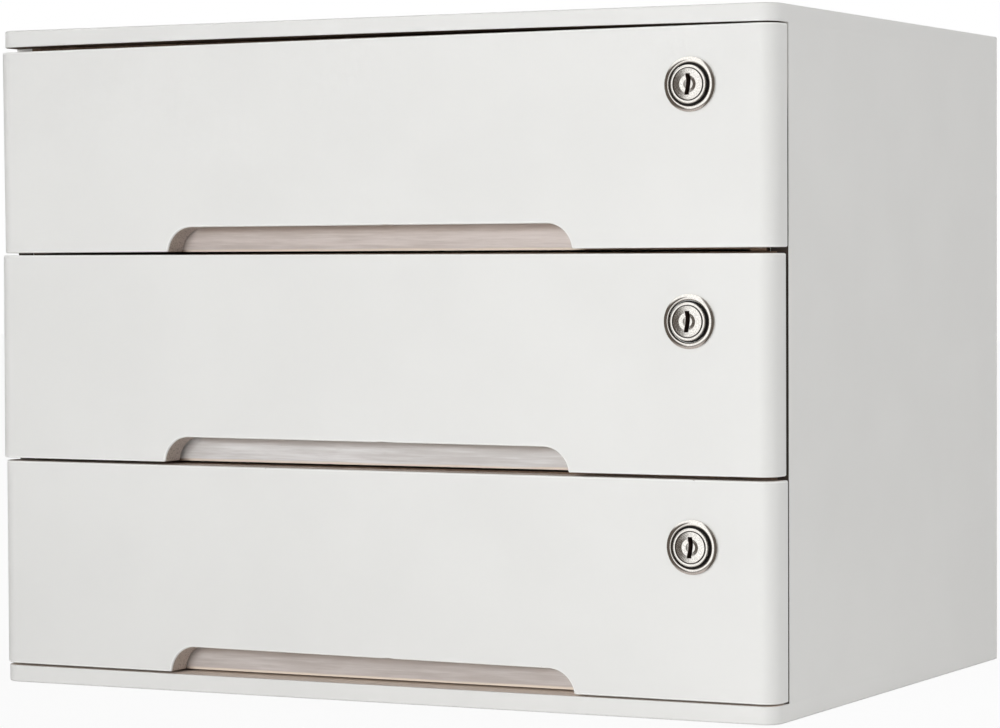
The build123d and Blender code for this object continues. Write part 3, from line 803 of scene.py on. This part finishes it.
def hollow_lip(board, sizes, inner, front):
    """Raise the points of a board's inner lip by d(1 - x²), for the rise d and x from -1 to 1 along it."""
    mesh = board.data
    points = points_of(mesh)
    x, y, z = points.T
    on_lip = (z < inner + sizes.lip_round + MERGE) & (y < front + 2 * sizes.paint_wrap)
    z += on_lip * sizes.lip_rise * (1 - (x / x.max()) ** 2)
    mesh.vertices.foreach_set("co", points.ravel())
    mesh.update()


def cabinet_board(name, sizes, inner_up):
    """A board with rounded front corners, carried up from its outline in plan.
    Its outer rim is rounded all round, and its inner lip over the fronts."""
    low, high = span(name)
    side_front = span("right_side")[0][1]
    run_x = np.linspace(low[0], high[0], RUN_STEPS)[2:-2]
    run = np.stack([run_x, np.full_like(run_x, low[1])], 1)
    rest = [
        (high[0], low[1]), (high[0], side_front - OVERRUN), (high[0], side_front), (high[0], high[1]),
        (low[0], high[1]), (low[0], side_front), (low[0], side_front - OVERRUN),
    ]
    corners = np.vstack([low[:2], run, rest])
    front, back = sizes.corner_radius, sizes.back_corner
    outline = fillet_corners(corners, (front, *[0] * len(run), front, 0, 0, back, back, 0, 0))
    lip = np.where(outline[:, 1] < side_front - MERGE, sizes.lip_round, 0.0)
    low_rim, high_rim = (sizes.rim_round, lip) if inner_up else (lip, sizes.rim_round)
    board = rounded_prism(name + "_painted", outline, low[2], high[2], low_rim, high_rim, sizes.paint_wrap)
    board.data.materials.append(paint())
    carve(board, back_rebate(bare_wood()))
    inner = high[2] if inner_up else low[2]
    margin = 0.9 * sizes.paint_wrap

    def inside(points):
        """1 on the inner face, past the strip that the paint runs over."""
        level = np.abs(points[:, 2] - inner) < MERGE
        return level & np.all((points > low + margin)[:, :2] & (points < high - margin)[:, :2], axis=1)

    mark(board, "bare", inside)
    if inner_up:
        mark(board, "depth", lambda points: 2.0 * inside(points))
    else:
        hollow_lip(board, sizes, inner, low[1])
    dress(board, "carcass", "white_paint", name)


def cabinet_side(name, sizes):
    """A side between the boards, painted outside, with housings for the dividers and a rebate at the back."""
    low, high = span(name)
    corners = [(low[0], low[1]), (high[0], low[1]), (high[0], high[1]), (low[0], high[1])]
    edge, back = sizes.side_edge, sizes.back_corner
    outer_right = high[0] > 0
    back_radii = (back, 0) if outer_right else (0, back)
    outline = fillet_corners(corners, (edge, edge, *back_radii), RIM_STEPS)
    side = rounded_prism(name + "_painted", outline, low[2], high[2])
    side.data.materials.append(paint())
    housings = []
    for divider in ("lower_divider", "upper_divider"):
        shelf_low, shelf_high = span(divider)
        housings.append(box_cutter(shelf_low - FIT, shelf_high + FIT, bare_wood()))
    carve(side, back_rebate(bare_wood()), *housings)
    inner = low[0] if outer_right else high[0]

    def inside(points):
        """1 on the inner face and on the front edge."""
        return (np.abs(points[:, 0] - inner) < MERGE) | (points[:, 1] < low[1] + MERGE)

    mark(side, "bare", inside)
    # Painted shade: the front edge is marked for a near-black colour, which the paint covers near the top
    mark(side, "soot", lambda points: points[:, 1] < low[1] + edge + MERGE)
    dress(side, "carcass", "white_paint", name)


# Drawer fronts

def foot_outline(sizes, half, drawer):
    """The lower edge of a front's face from left to right: x, z, and the direction out of the wood.
    The straight foot rolls over a small convex arc into the cut-out's end, an arc that runs on into the
    cut-out's level top. The right half mirrors the left. The top then tilts a little, and a small bump in it
    is the router's mark."""
    foot, bend, height = sizes.foot_round, sizes.pull_bend, sizes.pull_height
    centre_x, centre_z = bend - sizes.pull_width / 2, height - bend
    rise = math.asin((foot - centre_z) / (bend + foot))
    foot_x = centre_x - (bend + foot) * math.cos(rise)
    roll = np.linspace(-QUARTER, -rise, ARC_STEPS)
    turn = np.linspace(math.pi - rise, QUARTER, ARC_STEPS)[1:]
    top_x = np.linspace(centre_x, 0, RUN_STEPS + 1)[1:-1]
    x = np.concatenate([foot_x + foot * np.cos(roll), centre_x + bend * np.cos(turn), top_x])
    z = np.concatenate([foot + foot * np.sin(roll), centre_z + bend * np.sin(turn), 0 * top_x + height])
    out_x = np.concatenate([np.cos(roll), -np.cos(turn), 0 * top_x])
    out_z = np.concatenate([np.sin(roll), -np.sin(turn), 0 * top_x - 1])
    x, z = np.concatenate([x, -x[::-1]]), np.concatenate([z, z[::-1]])
    out_x, out_z = np.concatenate([out_x, -out_x[::-1]]), np.concatenate([out_z, out_z[::-1]])
    place = DRAWERS.index(drawer)
    nick = sizes.nick_depth * np.exp(-(((x - sizes.nick_offset) / sizes.nick_width) ** 2))
    z = z * (1 + sizes.pull_tilts[place] * x / (sizes.pull_width * height)) + nick
    x = x + sizes.pull_offset + sizes.pull_shifts[place]
    left = np.linspace(-half, x[0], RUN_STEPS, endpoint=False)
    right = np.linspace(half, x[-1], RUN_STEPS, endpoint=False)[::-1]
    level = np.zeros(RUN_STEPS)
    x = np.concatenate([left, x, right])
    z = np.concatenate([level, z, level])
    out_x = np.concatenate([level, out_x, level])
    out_z = np.concatenate([level - 1, out_z, level - 1])
    return x, z, out_x, out_z


def front_points(sizes, low, high, drawer):
    """The grid of a front: its columns follow the plan path and its rows go once round the front's section.
    The path runs from the left back edge round the upright edges and the face to the right back edge. A rim's
    row at the angle t lies r(1 - sin t) in from the outline and r(1 - cos t) behind the face. Returns the
    points and, for each row, how far it lies on a rim and how far it is bare."""
    rim, wrap, radius = sizes.rim_round, sizes.paint_wrap, sizes.corner_radius
    half = high[0] - radius
    foot_x, foot_z, out_x, out_z = foot_outline(sizes, half, drawer)
    turn = np.linspace(QUARTER, 0, ARC_STEPS)[:-1]
    arc = np.stack([np.sin(turn), -np.cos(turn)], 1)
    back_points = np.array([(high[0], high[1]), (high[0], (high[1] + low[1] + radius) / 2)])
    right_end = np.vstack([back_points, np.array([half, low[1] + radius]) + radius * arc])
    right_out = np.vstack([[(1, 0), (1, 0)], arc])
    mirror = np.array([-1, 1])
    face = np.stack([foot_x, np.full_like(foot_x, low[1])], 1)
    path = np.vstack([right_end * mirror, face, right_end[::-1]])
    out = np.vstack([right_out * mirror, np.broadcast_to((0, -1), face.shape), right_out[::-1]])
    pad = len(right_end)
    foot_z = low[2] + np.pad(foot_z, pad)
    out_x = np.pad(out_x, pad)
    out_z = np.pad(out_z, pad, constant_values=-1)
    back_x = np.clip(path[:, 0], low[0] + wrap, high[0] - wrap)

    def back_row(level):
        return np.stack([back_x, np.full_like(back_x, high[1]), np.broadcast_to(level, back_x.shape)], 1)

    def row(depth, inset, lower):
        flat = path - out * depth
        side_step = out_x * inset if lower else 0.0
        level = foot_z - out_z * inset if lower else np.full_like(foot_z, high[2] - inset)
        return np.stack([flat[:, 0] - side_step, flat[:, 1], level], 1)

    turns = np.linspace(0, QUARTER, RIM_STEPS)
    rims = [(rim * (1 - math.cos(t)), rim * (1 - math.sin(t))) for t in turns]
    support = sizes.foot_round - MERGE
    levels = np.linspace(high[2] - 3 * radius, low[2] + sizes.pull_height + radius / 2, 4)
    middle = [np.stack([*path.T, np.full(len(path), level)], 1) for level in levels]
    rows = [back_row(high[2]), row(wrap, 0.0, False)]
    rows += [row(depth, inset, False) for depth, inset in rims[::-1]]
    rows += [row(0.0, support, False), *middle, row(0.0, support, True)]
    rows += [row(depth, inset, True) for depth, inset in rims]
    rows += [row(wrap, 0.0, True), back_row(foot_z)]
    plain = [0] * (len(middle) + 2)
    on_rim = [0, 0, *[1] * RIM_STEPS, *plain, *[1] * RIM_STEPS, 0, 0]
    is_bare = [1, 1, *[0] * RIM_STEPS, *plain, *[0] * RIM_STEPS, 1, 1]
    return np.stack(rows), np.array(on_rim), np.array(is_bare)


def settle(points, drawer, sizes):
    """Move a front to how it sits: its corners rise and lean out by small shifts, blended evenly between.
    The middle front also stops short at its right end."""
    x, y, z = np.moveaxis(points, -1, 0)
    right = (x - x.min()) / np.ptp(x)
    up = (z - z.min()) / np.ptp(z)
    upper_left, upper_right, lower_left, lower_right = getattr(sizes, f"{drawer}_lift")
    upper_lean, lower_lean = getattr(sizes, f"{drawer}_lean")
    upper = upper_left * (1 - right) + upper_right * right
    lower = lower_left * (1 - right) + lower_right * right
    lean = (upper_lean * up + lower_lean * (1 - up)) * (1 - right)
    short = sizes.middle_gap if drawer == "middle" else 0.0
    return np.stack([x - short * right, y - lean, z + upper * up + lower * (1 - up)], -1)


def drawer_front(drawer, sizes):
    """A painted front with rounded upright edges, soft rims, the finger cut-out and the lock's bore."""
    low, high = span(f"{drawer}_front")
    points, on_rim, is_bare = front_points(sizes, low, high, drawer)
    depth = (points[..., 1] - low[1]) / (high[1] - low[1])
    points = settle(points, drawer, sizes)
    rows, columns = points.shape[:2]
    first = np.arange(rows) * columns
    caps = (first, first + columns - 1)
    marks = {"edge": np.repeat(on_rim, columns), "bare": np.repeat(is_bare, columns), "depth": depth}
    quads = grid_quads(rows, columns, along=True)
    front = new_piece(f"{drawer}_front_painted", points, quads, caps, marks)
    front.data.materials.append(paint())
    axis = LOCK_AXES[drawer]
    bore = circle(sizes.bore_radius, axis[0], axis[2])
    cutter = rounded_prism("cutter", bore[::-1], low[1] - OVERRUN, high[1] + OVERRUN, order=(0, 2, 1))
    cutter.data.materials.append(bare_wood())
    carve(front, cutter)
    dress(front, f"{drawer}_drawer", "white_paint", f"{drawer}_front")


# Locks

def lock_trim_ring(drawer, sizes):
    """The trim ring: a domed band with an upright outer edge, rounded over from its crown into the mouth.
    At the slope t the band lies R sin t out from the crown and R(1 - cos t) down, for the radius R of its
    bend, and the lip goes the same way inwards."""
    under = sizes.flange_stand + FIT
    seat = sizes.flange_radius + FIT
    lip = sizes.crown_radius - sizes.mouth_radius
    bend = (sizes.ring_radius - sizes.crown_radius) / math.sin(sizes.ring_slope)
    crown = np.array([sizes.crown_radius, sizes.crown_stand])
    slope = np.linspace(0, sizes.ring_slope, ARC_STEPS)
    turn = np.linspace(0, QUARTER, ARC_STEPS)
    band = crown + bend * np.stack([np.sin(slope), np.cos(slope) - 1], 1)
    rounded = crown + lip * np.stack([-np.sin(turn), np.cos(turn) - 1], 1)
    foot = [(sizes.mouth_radius, under), (seat, under), (seat, 0), (sizes.ring_radius, 0)]
    corners = np.vstack([band[::-1], rounded[1:], foot])
    radii = np.zeros(len(corners))
    radii[0] = sizes.ring_round / 2
    profile = fillet_corners(corners, radii, RIM_STEPS)
    ring = revolved(f"{drawer}_lock_trim_ring_plated", profile, LOCK_AXES[drawer], True)
    ring.data.materials.append(polished_nickel())
    dark = sizes.crown_stand - lip
    # Painted shade in the ring's mouth, under its crown
    mark_crevice(ring, drawer, lambda radius, stand: (radius < sizes.mouth_radius + MERGE) & (stand < dark))
    dress(ring, f"{drawer}_drawer", "lock_nickel", f"{drawer}_lock_trim_ring")


def mark_crevice(piece, drawer, rule):
    """Store where a lock's piece gets painted shade in its crevices, by radius from its axis and stand from
    the front.
    """
    axis = LOCK_AXES[drawer]

    def at(points):
        """The rule's answer at each point."""
        radius = np.hypot(points[:, 0] - axis[0], points[:, 2] - axis[2])
        return rule(radius, axis[1] - points[:, 1])

    mark(piece, "grime", at)


def lock_barrel(drawer, sizes):
    """The barrel: a rounded stub, a moat round it, the flange under the ring and a threaded body behind.
    Its profile is carried round the lock's axis, and the thread's ridges go round it without rising."""
    end = LOCK_AXES[drawer][1] - span(f"{drawer}_lock_barrel")[1][1]
    wall = end + sizes.end_wall
    moat = sizes.mouth_radius - FIT
    floor = sizes.flange_stand / 4
    rim = (sizes.stub_radius - sizes.stub_bore) / 3
    crest = np.arange(end, end / 2, sizes.thread_pitch)[::-1]
    root = sizes.body_radius - sizes.thread_depth
    thread = np.stack([
        np.stack([np.full_like(crest, sizes.body_radius), crest + sizes.thread_pitch / 2], 1),
        np.stack([np.full_like(crest, root), crest], 1),
    ], 1).reshape(-1, 2)
    corners = np.vstack([
        [
            (sizes.stub_bore, sizes.stub_stand), (sizes.stub_radius, sizes.stub_stand),
            (sizes.stub_radius, floor), (moat, floor), (moat, sizes.flange_stand),
            (sizes.flange_radius, sizes.flange_stand), (sizes.flange_radius, 0), (sizes.body_radius, 0),
        ],
        thread,
        [(sizes.tail_hole, end), (sizes.tail_hole, wall), (sizes.stub_bore, wall)],
    ])
    radii = np.zeros(len(corners))
    radii[:2] = rim / 2, rim
    barrel = revolved(f"{drawer}_lock_barrel_plated", fillet_corners(corners, radii), LOCK_AXES[drawer], True)
    barrel.data.materials.append(polished_nickel())

    def crevice(radius, stand):
        """True in the moat and in the bore below the stub's rim."""
        in_moat = (stand < 2 * sizes.flange_stand) & (stand > 0) & (radius < moat + MERGE)
        in_bore = (radius < sizes.stub_bore + MERGE) & (stand < sizes.stub_stand - rim)
        return in_moat | in_bore

    # Painted shade in the moat and in the bore
    mark_crevice(barrel, drawer, crevice)
    dress(barrel, f"{drawer}_drawer", "lock_nickel", f"{drawer}_lock_barrel")


def key_slot(sizes):
    """The outline of the key slot, at an even width. For s from -1 at its foot to 1 at its head, its middle
    line lies the step times tanh 3s plus the bow times cos(pi s) to the right."""
    height = np.linspace(-sizes.slot_height / 2, sizes.slot_height / 2, RUN_STEPS)
    swing = height / (sizes.slot_height / 2)
    middle = sizes.slot_step * np.tanh(3 * swing) + sizes.slot_bow * np.cos(math.pi * swing)
    right = np.stack([middle + sizes.slot_width / 2, height], 1)
    left = np.stack([middle - sizes.slot_width / 2, height], 1)
    return np.vstack([right, left[::-1]])


def lock_plug(drawer, sizes):
    """The turning plug: a dished face with a bowed key slot, a round tail and the square for the cam.
    The dish's floor falls away by the square of its radius, and the face round it evenly."""
    axis = LOCK_AXES[drawer]
    square_end = axis[1] - span(f"{drawer}_lock_plug")[1][1]
    barrel_end = axis[1] - span(f"{drawer}_lock_barrel")[1][1]
    shoulder = barrel_end + sizes.end_wall + sizes.turn_gap
    tail_end = axis[1] - span(f"{drawer}_lock_cam")[0][1]
    dish = np.linspace(0, sizes.dimple_floor, ARC_STEPS)
    bowl = sizes.plug_stand - sizes.dimple_depth - sizes.dimple_dome * (dish / sizes.dimple_floor) ** 2
    bevel = sizes.dimple_depth / 2
    face = np.linspace(sizes.dimple_radius, sizes.plug_radius - bevel, ARC_STEPS)
    fall = (face - sizes.dimple_radius) / (sizes.plug_radius - bevel - sizes.dimple_radius)
    edge = sizes.plug_stand - sizes.face_dome
    profile = np.vstack([
        np.stack([dish, bowl], 1),
        np.stack([face, sizes.plug_stand - sizes.face_dome * fall], 1),
        [
            (sizes.plug_radius - bevel / 3, edge - bevel / 3), (sizes.plug_radius, edge - bevel),
            (sizes.plug_radius, shoulder), (sizes.tail_radius, shoulder), (sizes.tail_radius, tail_end),
            (0, tail_end),
        ],
    ])
    plug = revolved(f"{drawer}_lock_plug_plated", profile, axis, False)
    plug.data.materials.append(worn_nickel())
    slot = key_slot(sizes) + axis[[0, 2]]
    front = axis[1] - sizes.plug_stand
    cutter = rounded_prism("cutter", slot, front - OVERRUN, front + sizes.slot_depth, order=(0, 2, 1))
    cutter.data.materials.append(shared("keyway_dark", keyway_dark))
    carve(plug, cutter)
    half = sizes.tail_square / 2
    corners = np.array([(-half, -half), (half, -half), (half, half), (-half, half)]) + axis[[0, 2]]
    square = rounded_prism("square", corners, axis[1] - tail_end, axis[1] - square_end, order=(0, 2, 1))
    square.data.materials.append(worn_nickel())
    with bpy.context.temp_override(active_object=plug, selected_editable_objects=[plug, square]):
        bpy.ops.object.join()
    # Painted shade on the plug's flank, inside the barrel
    flank = sizes.plug_radius - MERGE
    mark_crevice(plug, drawer, lambda radius, stand: (radius > flank) & (stand < sizes.plug_stand))
    dress(plug, f"{drawer}_lock", "lock_nickel", f"{drawer}_lock_plug")


# Parts that keep their CAD shape

def finish_node(name, material, edge):
    """Give a CAD node its material and break its sharp edges by that much."""
    node = frame["nodes"][name]
    for slot in node.material_slots:
        slot.material = material
    weld = node.modifiers.new("joined_faces", "WELD")
    weld.merge_threshold = MERGE
    flat = node.modifiers.new("whole_faces", "DECIMATE")
    flat.decimate_type = "DISSOLVE"
    flat.angle_limit = FLAT
    broken = node.modifiers.new("broken_edges", "BEVEL")
    broken.width = edge
    broken.segments = 2
    broken.limit_method = "ANGLE"
    broken.angle_limit = SHARP
    broken.harden_normals = False
    even = node.modifiers.new("even_shading", "WEIGHTED_NORMAL")
    even.keep_sharp = True


# Operators

class CABINET_OT_boards(bpy.types.Operator):
    """Make the painted top and bottom boards"""

    bl_idname = "cabinet.boards"
    bl_label = "Painted boards"

    def execute(self, context):
        for name, inner_up in (("bottom_board", True), ("top_board", False)):
            cabinet_board(name, context.scene.cabinet_boards, inner_up)
        return {"FINISHED"}


class CABINET_OT_sides(bpy.types.Operator):
    """Make the two painted sides"""

    bl_idname = "cabinet.sides"
    bl_label = "Painted sides"

    def execute(self, context):
        for name in ("left_side", "right_side"):
            cabinet_side(name, context.scene.cabinet_boards)
        return {"FINISHED"}


class CABINET_OT_fronts(bpy.types.Operator):
    """Make the three painted drawer fronts"""

    bl_idname = "cabinet.fronts"
    bl_label = "Drawer fronts"

    def execute(self, context):
        for drawer in DRAWERS:
            drawer_front(drawer, context.scene.cabinet_fronts)
        return {"FINISHED"}


class CABINET_OT_locks(bpy.types.Operator):
    """Make the trim ring, barrel and plug of each lock"""

    bl_idname = "cabinet.locks"
    bl_label = "Key locks"

    def execute(self, context):
        for drawer in DRAWERS:
            for make in (lock_trim_ring, lock_barrel, lock_plug):
                make(drawer, context.scene.cabinet_locks)
        return {"FINISHED"}


class CABINET_OT_drawer_boxes(bpy.types.Operator):
    """Finish the limed drawer boxes, their bottoms and their fasteners"""

    bl_idname = "cabinet.drawer_boxes"
    bl_label = "Drawer boxes"

    def execute(self, context):
        steel = shared("zinc_steel", zinc_steel)
        sheet = thin_board("y")
        for drawer in DRAWERS:
            floor = span(f"{drawer}_box_front")[0][2]
            cross = limed_wood(drawer, "x", floor, context.scene.cabinet_fronts)
            side = limed_wood(drawer, "y", floor)
            walls = {"box_front": cross, "box_back": cross, "box_left_wall": side, "box_right_wall": side}
            for wall, wood in walls.items():
                finish_node(f"{drawer}_{wall}", wood, WALL_EDGE)
            finish_node(f"{drawer}_box_bottom", sheet, SHEET_EDGE)
            for part in ("front_screws", "lock_nut", "lock_cam", "cam_bolt"):
                finish_node(f"{drawer}_{part}", steel, STEEL_EDGE)
            finish_node(f"{drawer}_corner_nails", steel, NAIL_EDGE)
        return {"FINISHED"}


class CABINET_OT_carcass_parts(bpy.types.Operator):
    """Finish the dividers, rails, back panel and fasteners of the carcass"""

    bl_idname = "cabinet.carcass_parts"
    bl_label = "Carcass parts"

    def execute(self, context):
        tones = finishes()
        steel = shared("zinc_steel", zinc_steel)
        beech = grained("beech_dowel", "z", tones.dowel, shade(tones.dowel, DOWEL_DULL), DOWEL_ROUGH)
        fibre = tones.divider_grain
        hardboard = grained("hardboard", "x", tones.divider, fibre, WOOD_ROUGH, HARDBOARD_FIBRES)
        for name in ("lower_divider", "upper_divider", "lower_lock_rail", "upper_lock_rail", "top_lock_rail"):
            finish_node(name, hardboard, STRIP_EDGE)
        finish_node("back_panel", thin_board("z"), SHEET_EDGE)
        finish_node("carcass_dowels", beech, DOWEL_EDGE)
        finish_node("rail_screws", steel, SCREW_EDGE)
        finish_node("back_panel_nails", steel, NAIL_EDGE)
        return {"FINISHED"}


def key_lamp(studio):
    """A square soft lamp in front of the cabinet. It is turned down and to the right, so that its light falls
    off to the left, and metal doesn't mirror it."""
    lamp = bpy.data.lights.new("key_lamp", "AREA")
    lamp.size = studio.key_width
    lamp.energy = studio.key_power
    stand = bpy.data.objects.new("key_lamp", lamp)
    stand.location = studio.key_place
    stand.rotation_euler = (Vector(studio.key_aim) - stand.location).to_track_quat("-Z", "Y").to_euler()
    stand.visible_glossy = False
    bpy.context.scene.collection.objects.link(stand)


def studio_floor(studio):
    """A pale floor that takes the shadow. A share of it shows plain white to the camera, and metal doesn't
    mirror it."""
    half = studio.floor_width / 2
    corners = np.array([(-half, -half, 0), (half, -half, 0), (half, half, 0), (-half, half, 0)])
    floor = new_piece("floor", corners - (0, 0, 2 * FIT), np.array([[0, 1, 2, 3]]))
    recipe = Recipe("pale_floor", FLOOR_ROUGH)
    fleck = recipe.noise(recipe.place(), FLOOR_FLECKS, 2.0)
    pale = recipe.mix(fleck, shade(studio.floor_colour, FLOOR_DULL), studio.floor_colour)
    recipe.finish(pale)
    glow = recipe.node("ShaderNodeEmission", {"Color": (1, 1, 1), "Strength": 1.0}).outputs[0]
    seen = recipe.node("ShaderNodeLightPath", {}).outputs["Is Camera Ray"]
    share = recipe.times(seen, studio.floor_glow)
    both = recipe.node("ShaderNodeMixShader", {0: share, 1: recipe.shader.outputs[0], 2: glow})
    recipe.feed(recipe.tree.nodes["Material Output"].inputs["Surface"], both.outputs[0])
    floor.data.materials.append(recipe.material)
    floor.visible_glossy = False


def studio_room(studio):
    """Soft light from all round and stronger from one side, which the camera sees as plain white.
    Metal mirrors a soft box in front, a pale ceiling above it and a pale floor below it, in a dim room."""
    recipe = Recipe("studio_room", 0.0, store="worlds")
    toward = recipe.node("ShaderNodeTexCoord", {}).outputs["Generated"]
    x, y, z = recipe.node("ShaderNodeSeparateXYZ", {0: toward}).outputs
    box = recipe.times(recipe.ease(x, *BOX_LEFT), recipe.ease(x, *BOX_RIGHT, *FALLING))
    box = recipe.times(box, recipe.ease(y, *BOX_BACK, *FALLING))
    box = recipe.times(box, recipe.ease(z, *BOX_FOOT))
    ceiling = recipe.times(recipe.ease(z, *CEILING_FOOT), recipe.ease(x, *CEILING_RIGHT))
    low_floor = recipe.ease(z, *MIRRORED_FLOOR_TOP, *FALLING)
    below = recipe.times(low_floor, recipe.ease(x, *MIRRORED_FLOOR_RIGHT, *FALLING))
    mirrored = recipe.mix(below, studio.dim, studio.below)
    lit = recipe.sum(box, ceiling, "MAXIMUM")
    mirrored = recipe.mix(lit, mirrored, [studio.box_glow] * 3)
    feeds = {0: toward, 1: studio.side_toward}
    side = recipe.node("ShaderNodeVectorMath", feeds, operation="DOT_PRODUCT").outputs["Value"]
    level = recipe.ease(side, *SIDE_SPREAD, studio.room, studio.room + studio.side_glow)
    light = recipe.node("ShaderNodeLightPath", {})
    around = recipe.mix(light.outputs["Is Glossy Ray"], level, mirrored)
    shown = recipe.mix(light.outputs["Is Camera Ray"], around, (1.0, 1.0, 1.0))
    recipe.feed(recipe.tree.nodes["Background"].inputs["Color"], shown)
    bpy.context.scene.world = recipe.material


class CABINET_OT_stage(bpy.types.Operator):
    """Set up the floor, the room, the lamp and the camera"""

    bl_idname = "cabinet.stage"
    bl_label = "Stage"

    def execute(self, context):
        studio = context.scene.cabinet_studio
        studio_floor(studio)
        studio_room(studio)
        key_lamp(studio)
        lens = bpy.data.cameras.new("camera")
        lens.lens = studio.lens
        camera = bpy.data.objects.new("camera", lens)
        context.scene.collection.objects.link(camera)
        turns = (
            Matrix.Rotation(studio.heading, 4, "Z"),
            Matrix.Rotation(QUARTER - studio.pitch, 4, "X"),
            Matrix.Rotation(studio.roll, 4, "Z"),
        )
        camera.matrix_world = Matrix.Translation(studio.camera_place) @ turns[0] @ turns[1] @ turns[2]
        context.scene.camera = camera
        context.scene.view_settings.view_transform = "Standard"
        return {"FINISHED"}


OPERATORS = (
    CABINET_OT_boards,
    CABINET_OT_sides,
    CABINET_OT_fronts,
    CABINET_OT_locks,
    CABINET_OT_drawer_boxes,
    CABINET_OT_carcass_parts,
    CABINET_OT_stage,
)
GROUPS = {
    "cabinet_boards": BoardSizes,
    "cabinet_fronts": FrontSizes,
    "cabinet_locks": LockSizes,
    "cabinet_finishes": Finishes,
    "cabinet_studio": Studio,
}


class CABINET_PT_panel(bpy.types.Panel):
    """The cabinet's steps and their sizes and colours"""

    bl_idname = "CABINET_PT_panel"
    bl_label = "Drawer cabinet"
    bl_space_type = "VIEW_3D"
    bl_region_type = "UI"
    bl_category = "Cabinet"

    def draw(self, context):
        for operator in OPERATORS:
            self.layout.operator(operator.bl_idname)
        for name, group in GROUPS.items():
            box = self.layout.box()
            for field in group.__annotations__:
                box.prop(getattr(context.scene, name), field)


CLASSES = (*GROUPS.values(), *OPERATORS, CABINET_PT_panel)


def register():
    """Register the classes and hang the property groups on the scene."""
    for each in CLASSES:
        bpy.utils.register_class(each)
    for name, group in GROUPS.items():
        setattr(bpy.types.Scene, name, PointerProperty(type=group))


def unregister():
    """Take the property groups off the scene and unregister the classes."""
    for name in GROUPS:
        delattr(bpy.types.Scene, name)
    for each in reversed(CLASSES):
        bpy.utils.unregister_class(each)


def main():
    """Build the scene step by step."""
    register()
    bpy.ops.cabinet.boards()
    bpy.ops.cabinet.sides()
    bpy.ops.cabinet.fronts()
    bpy.ops.cabinet.locks()
    bpy.ops.cabinet.drawer_boxes()
    bpy.ops.cabinet.carcass_parts()
    bpy.ops.cabinet.stage()


if __name__ == "__main__":
    main()
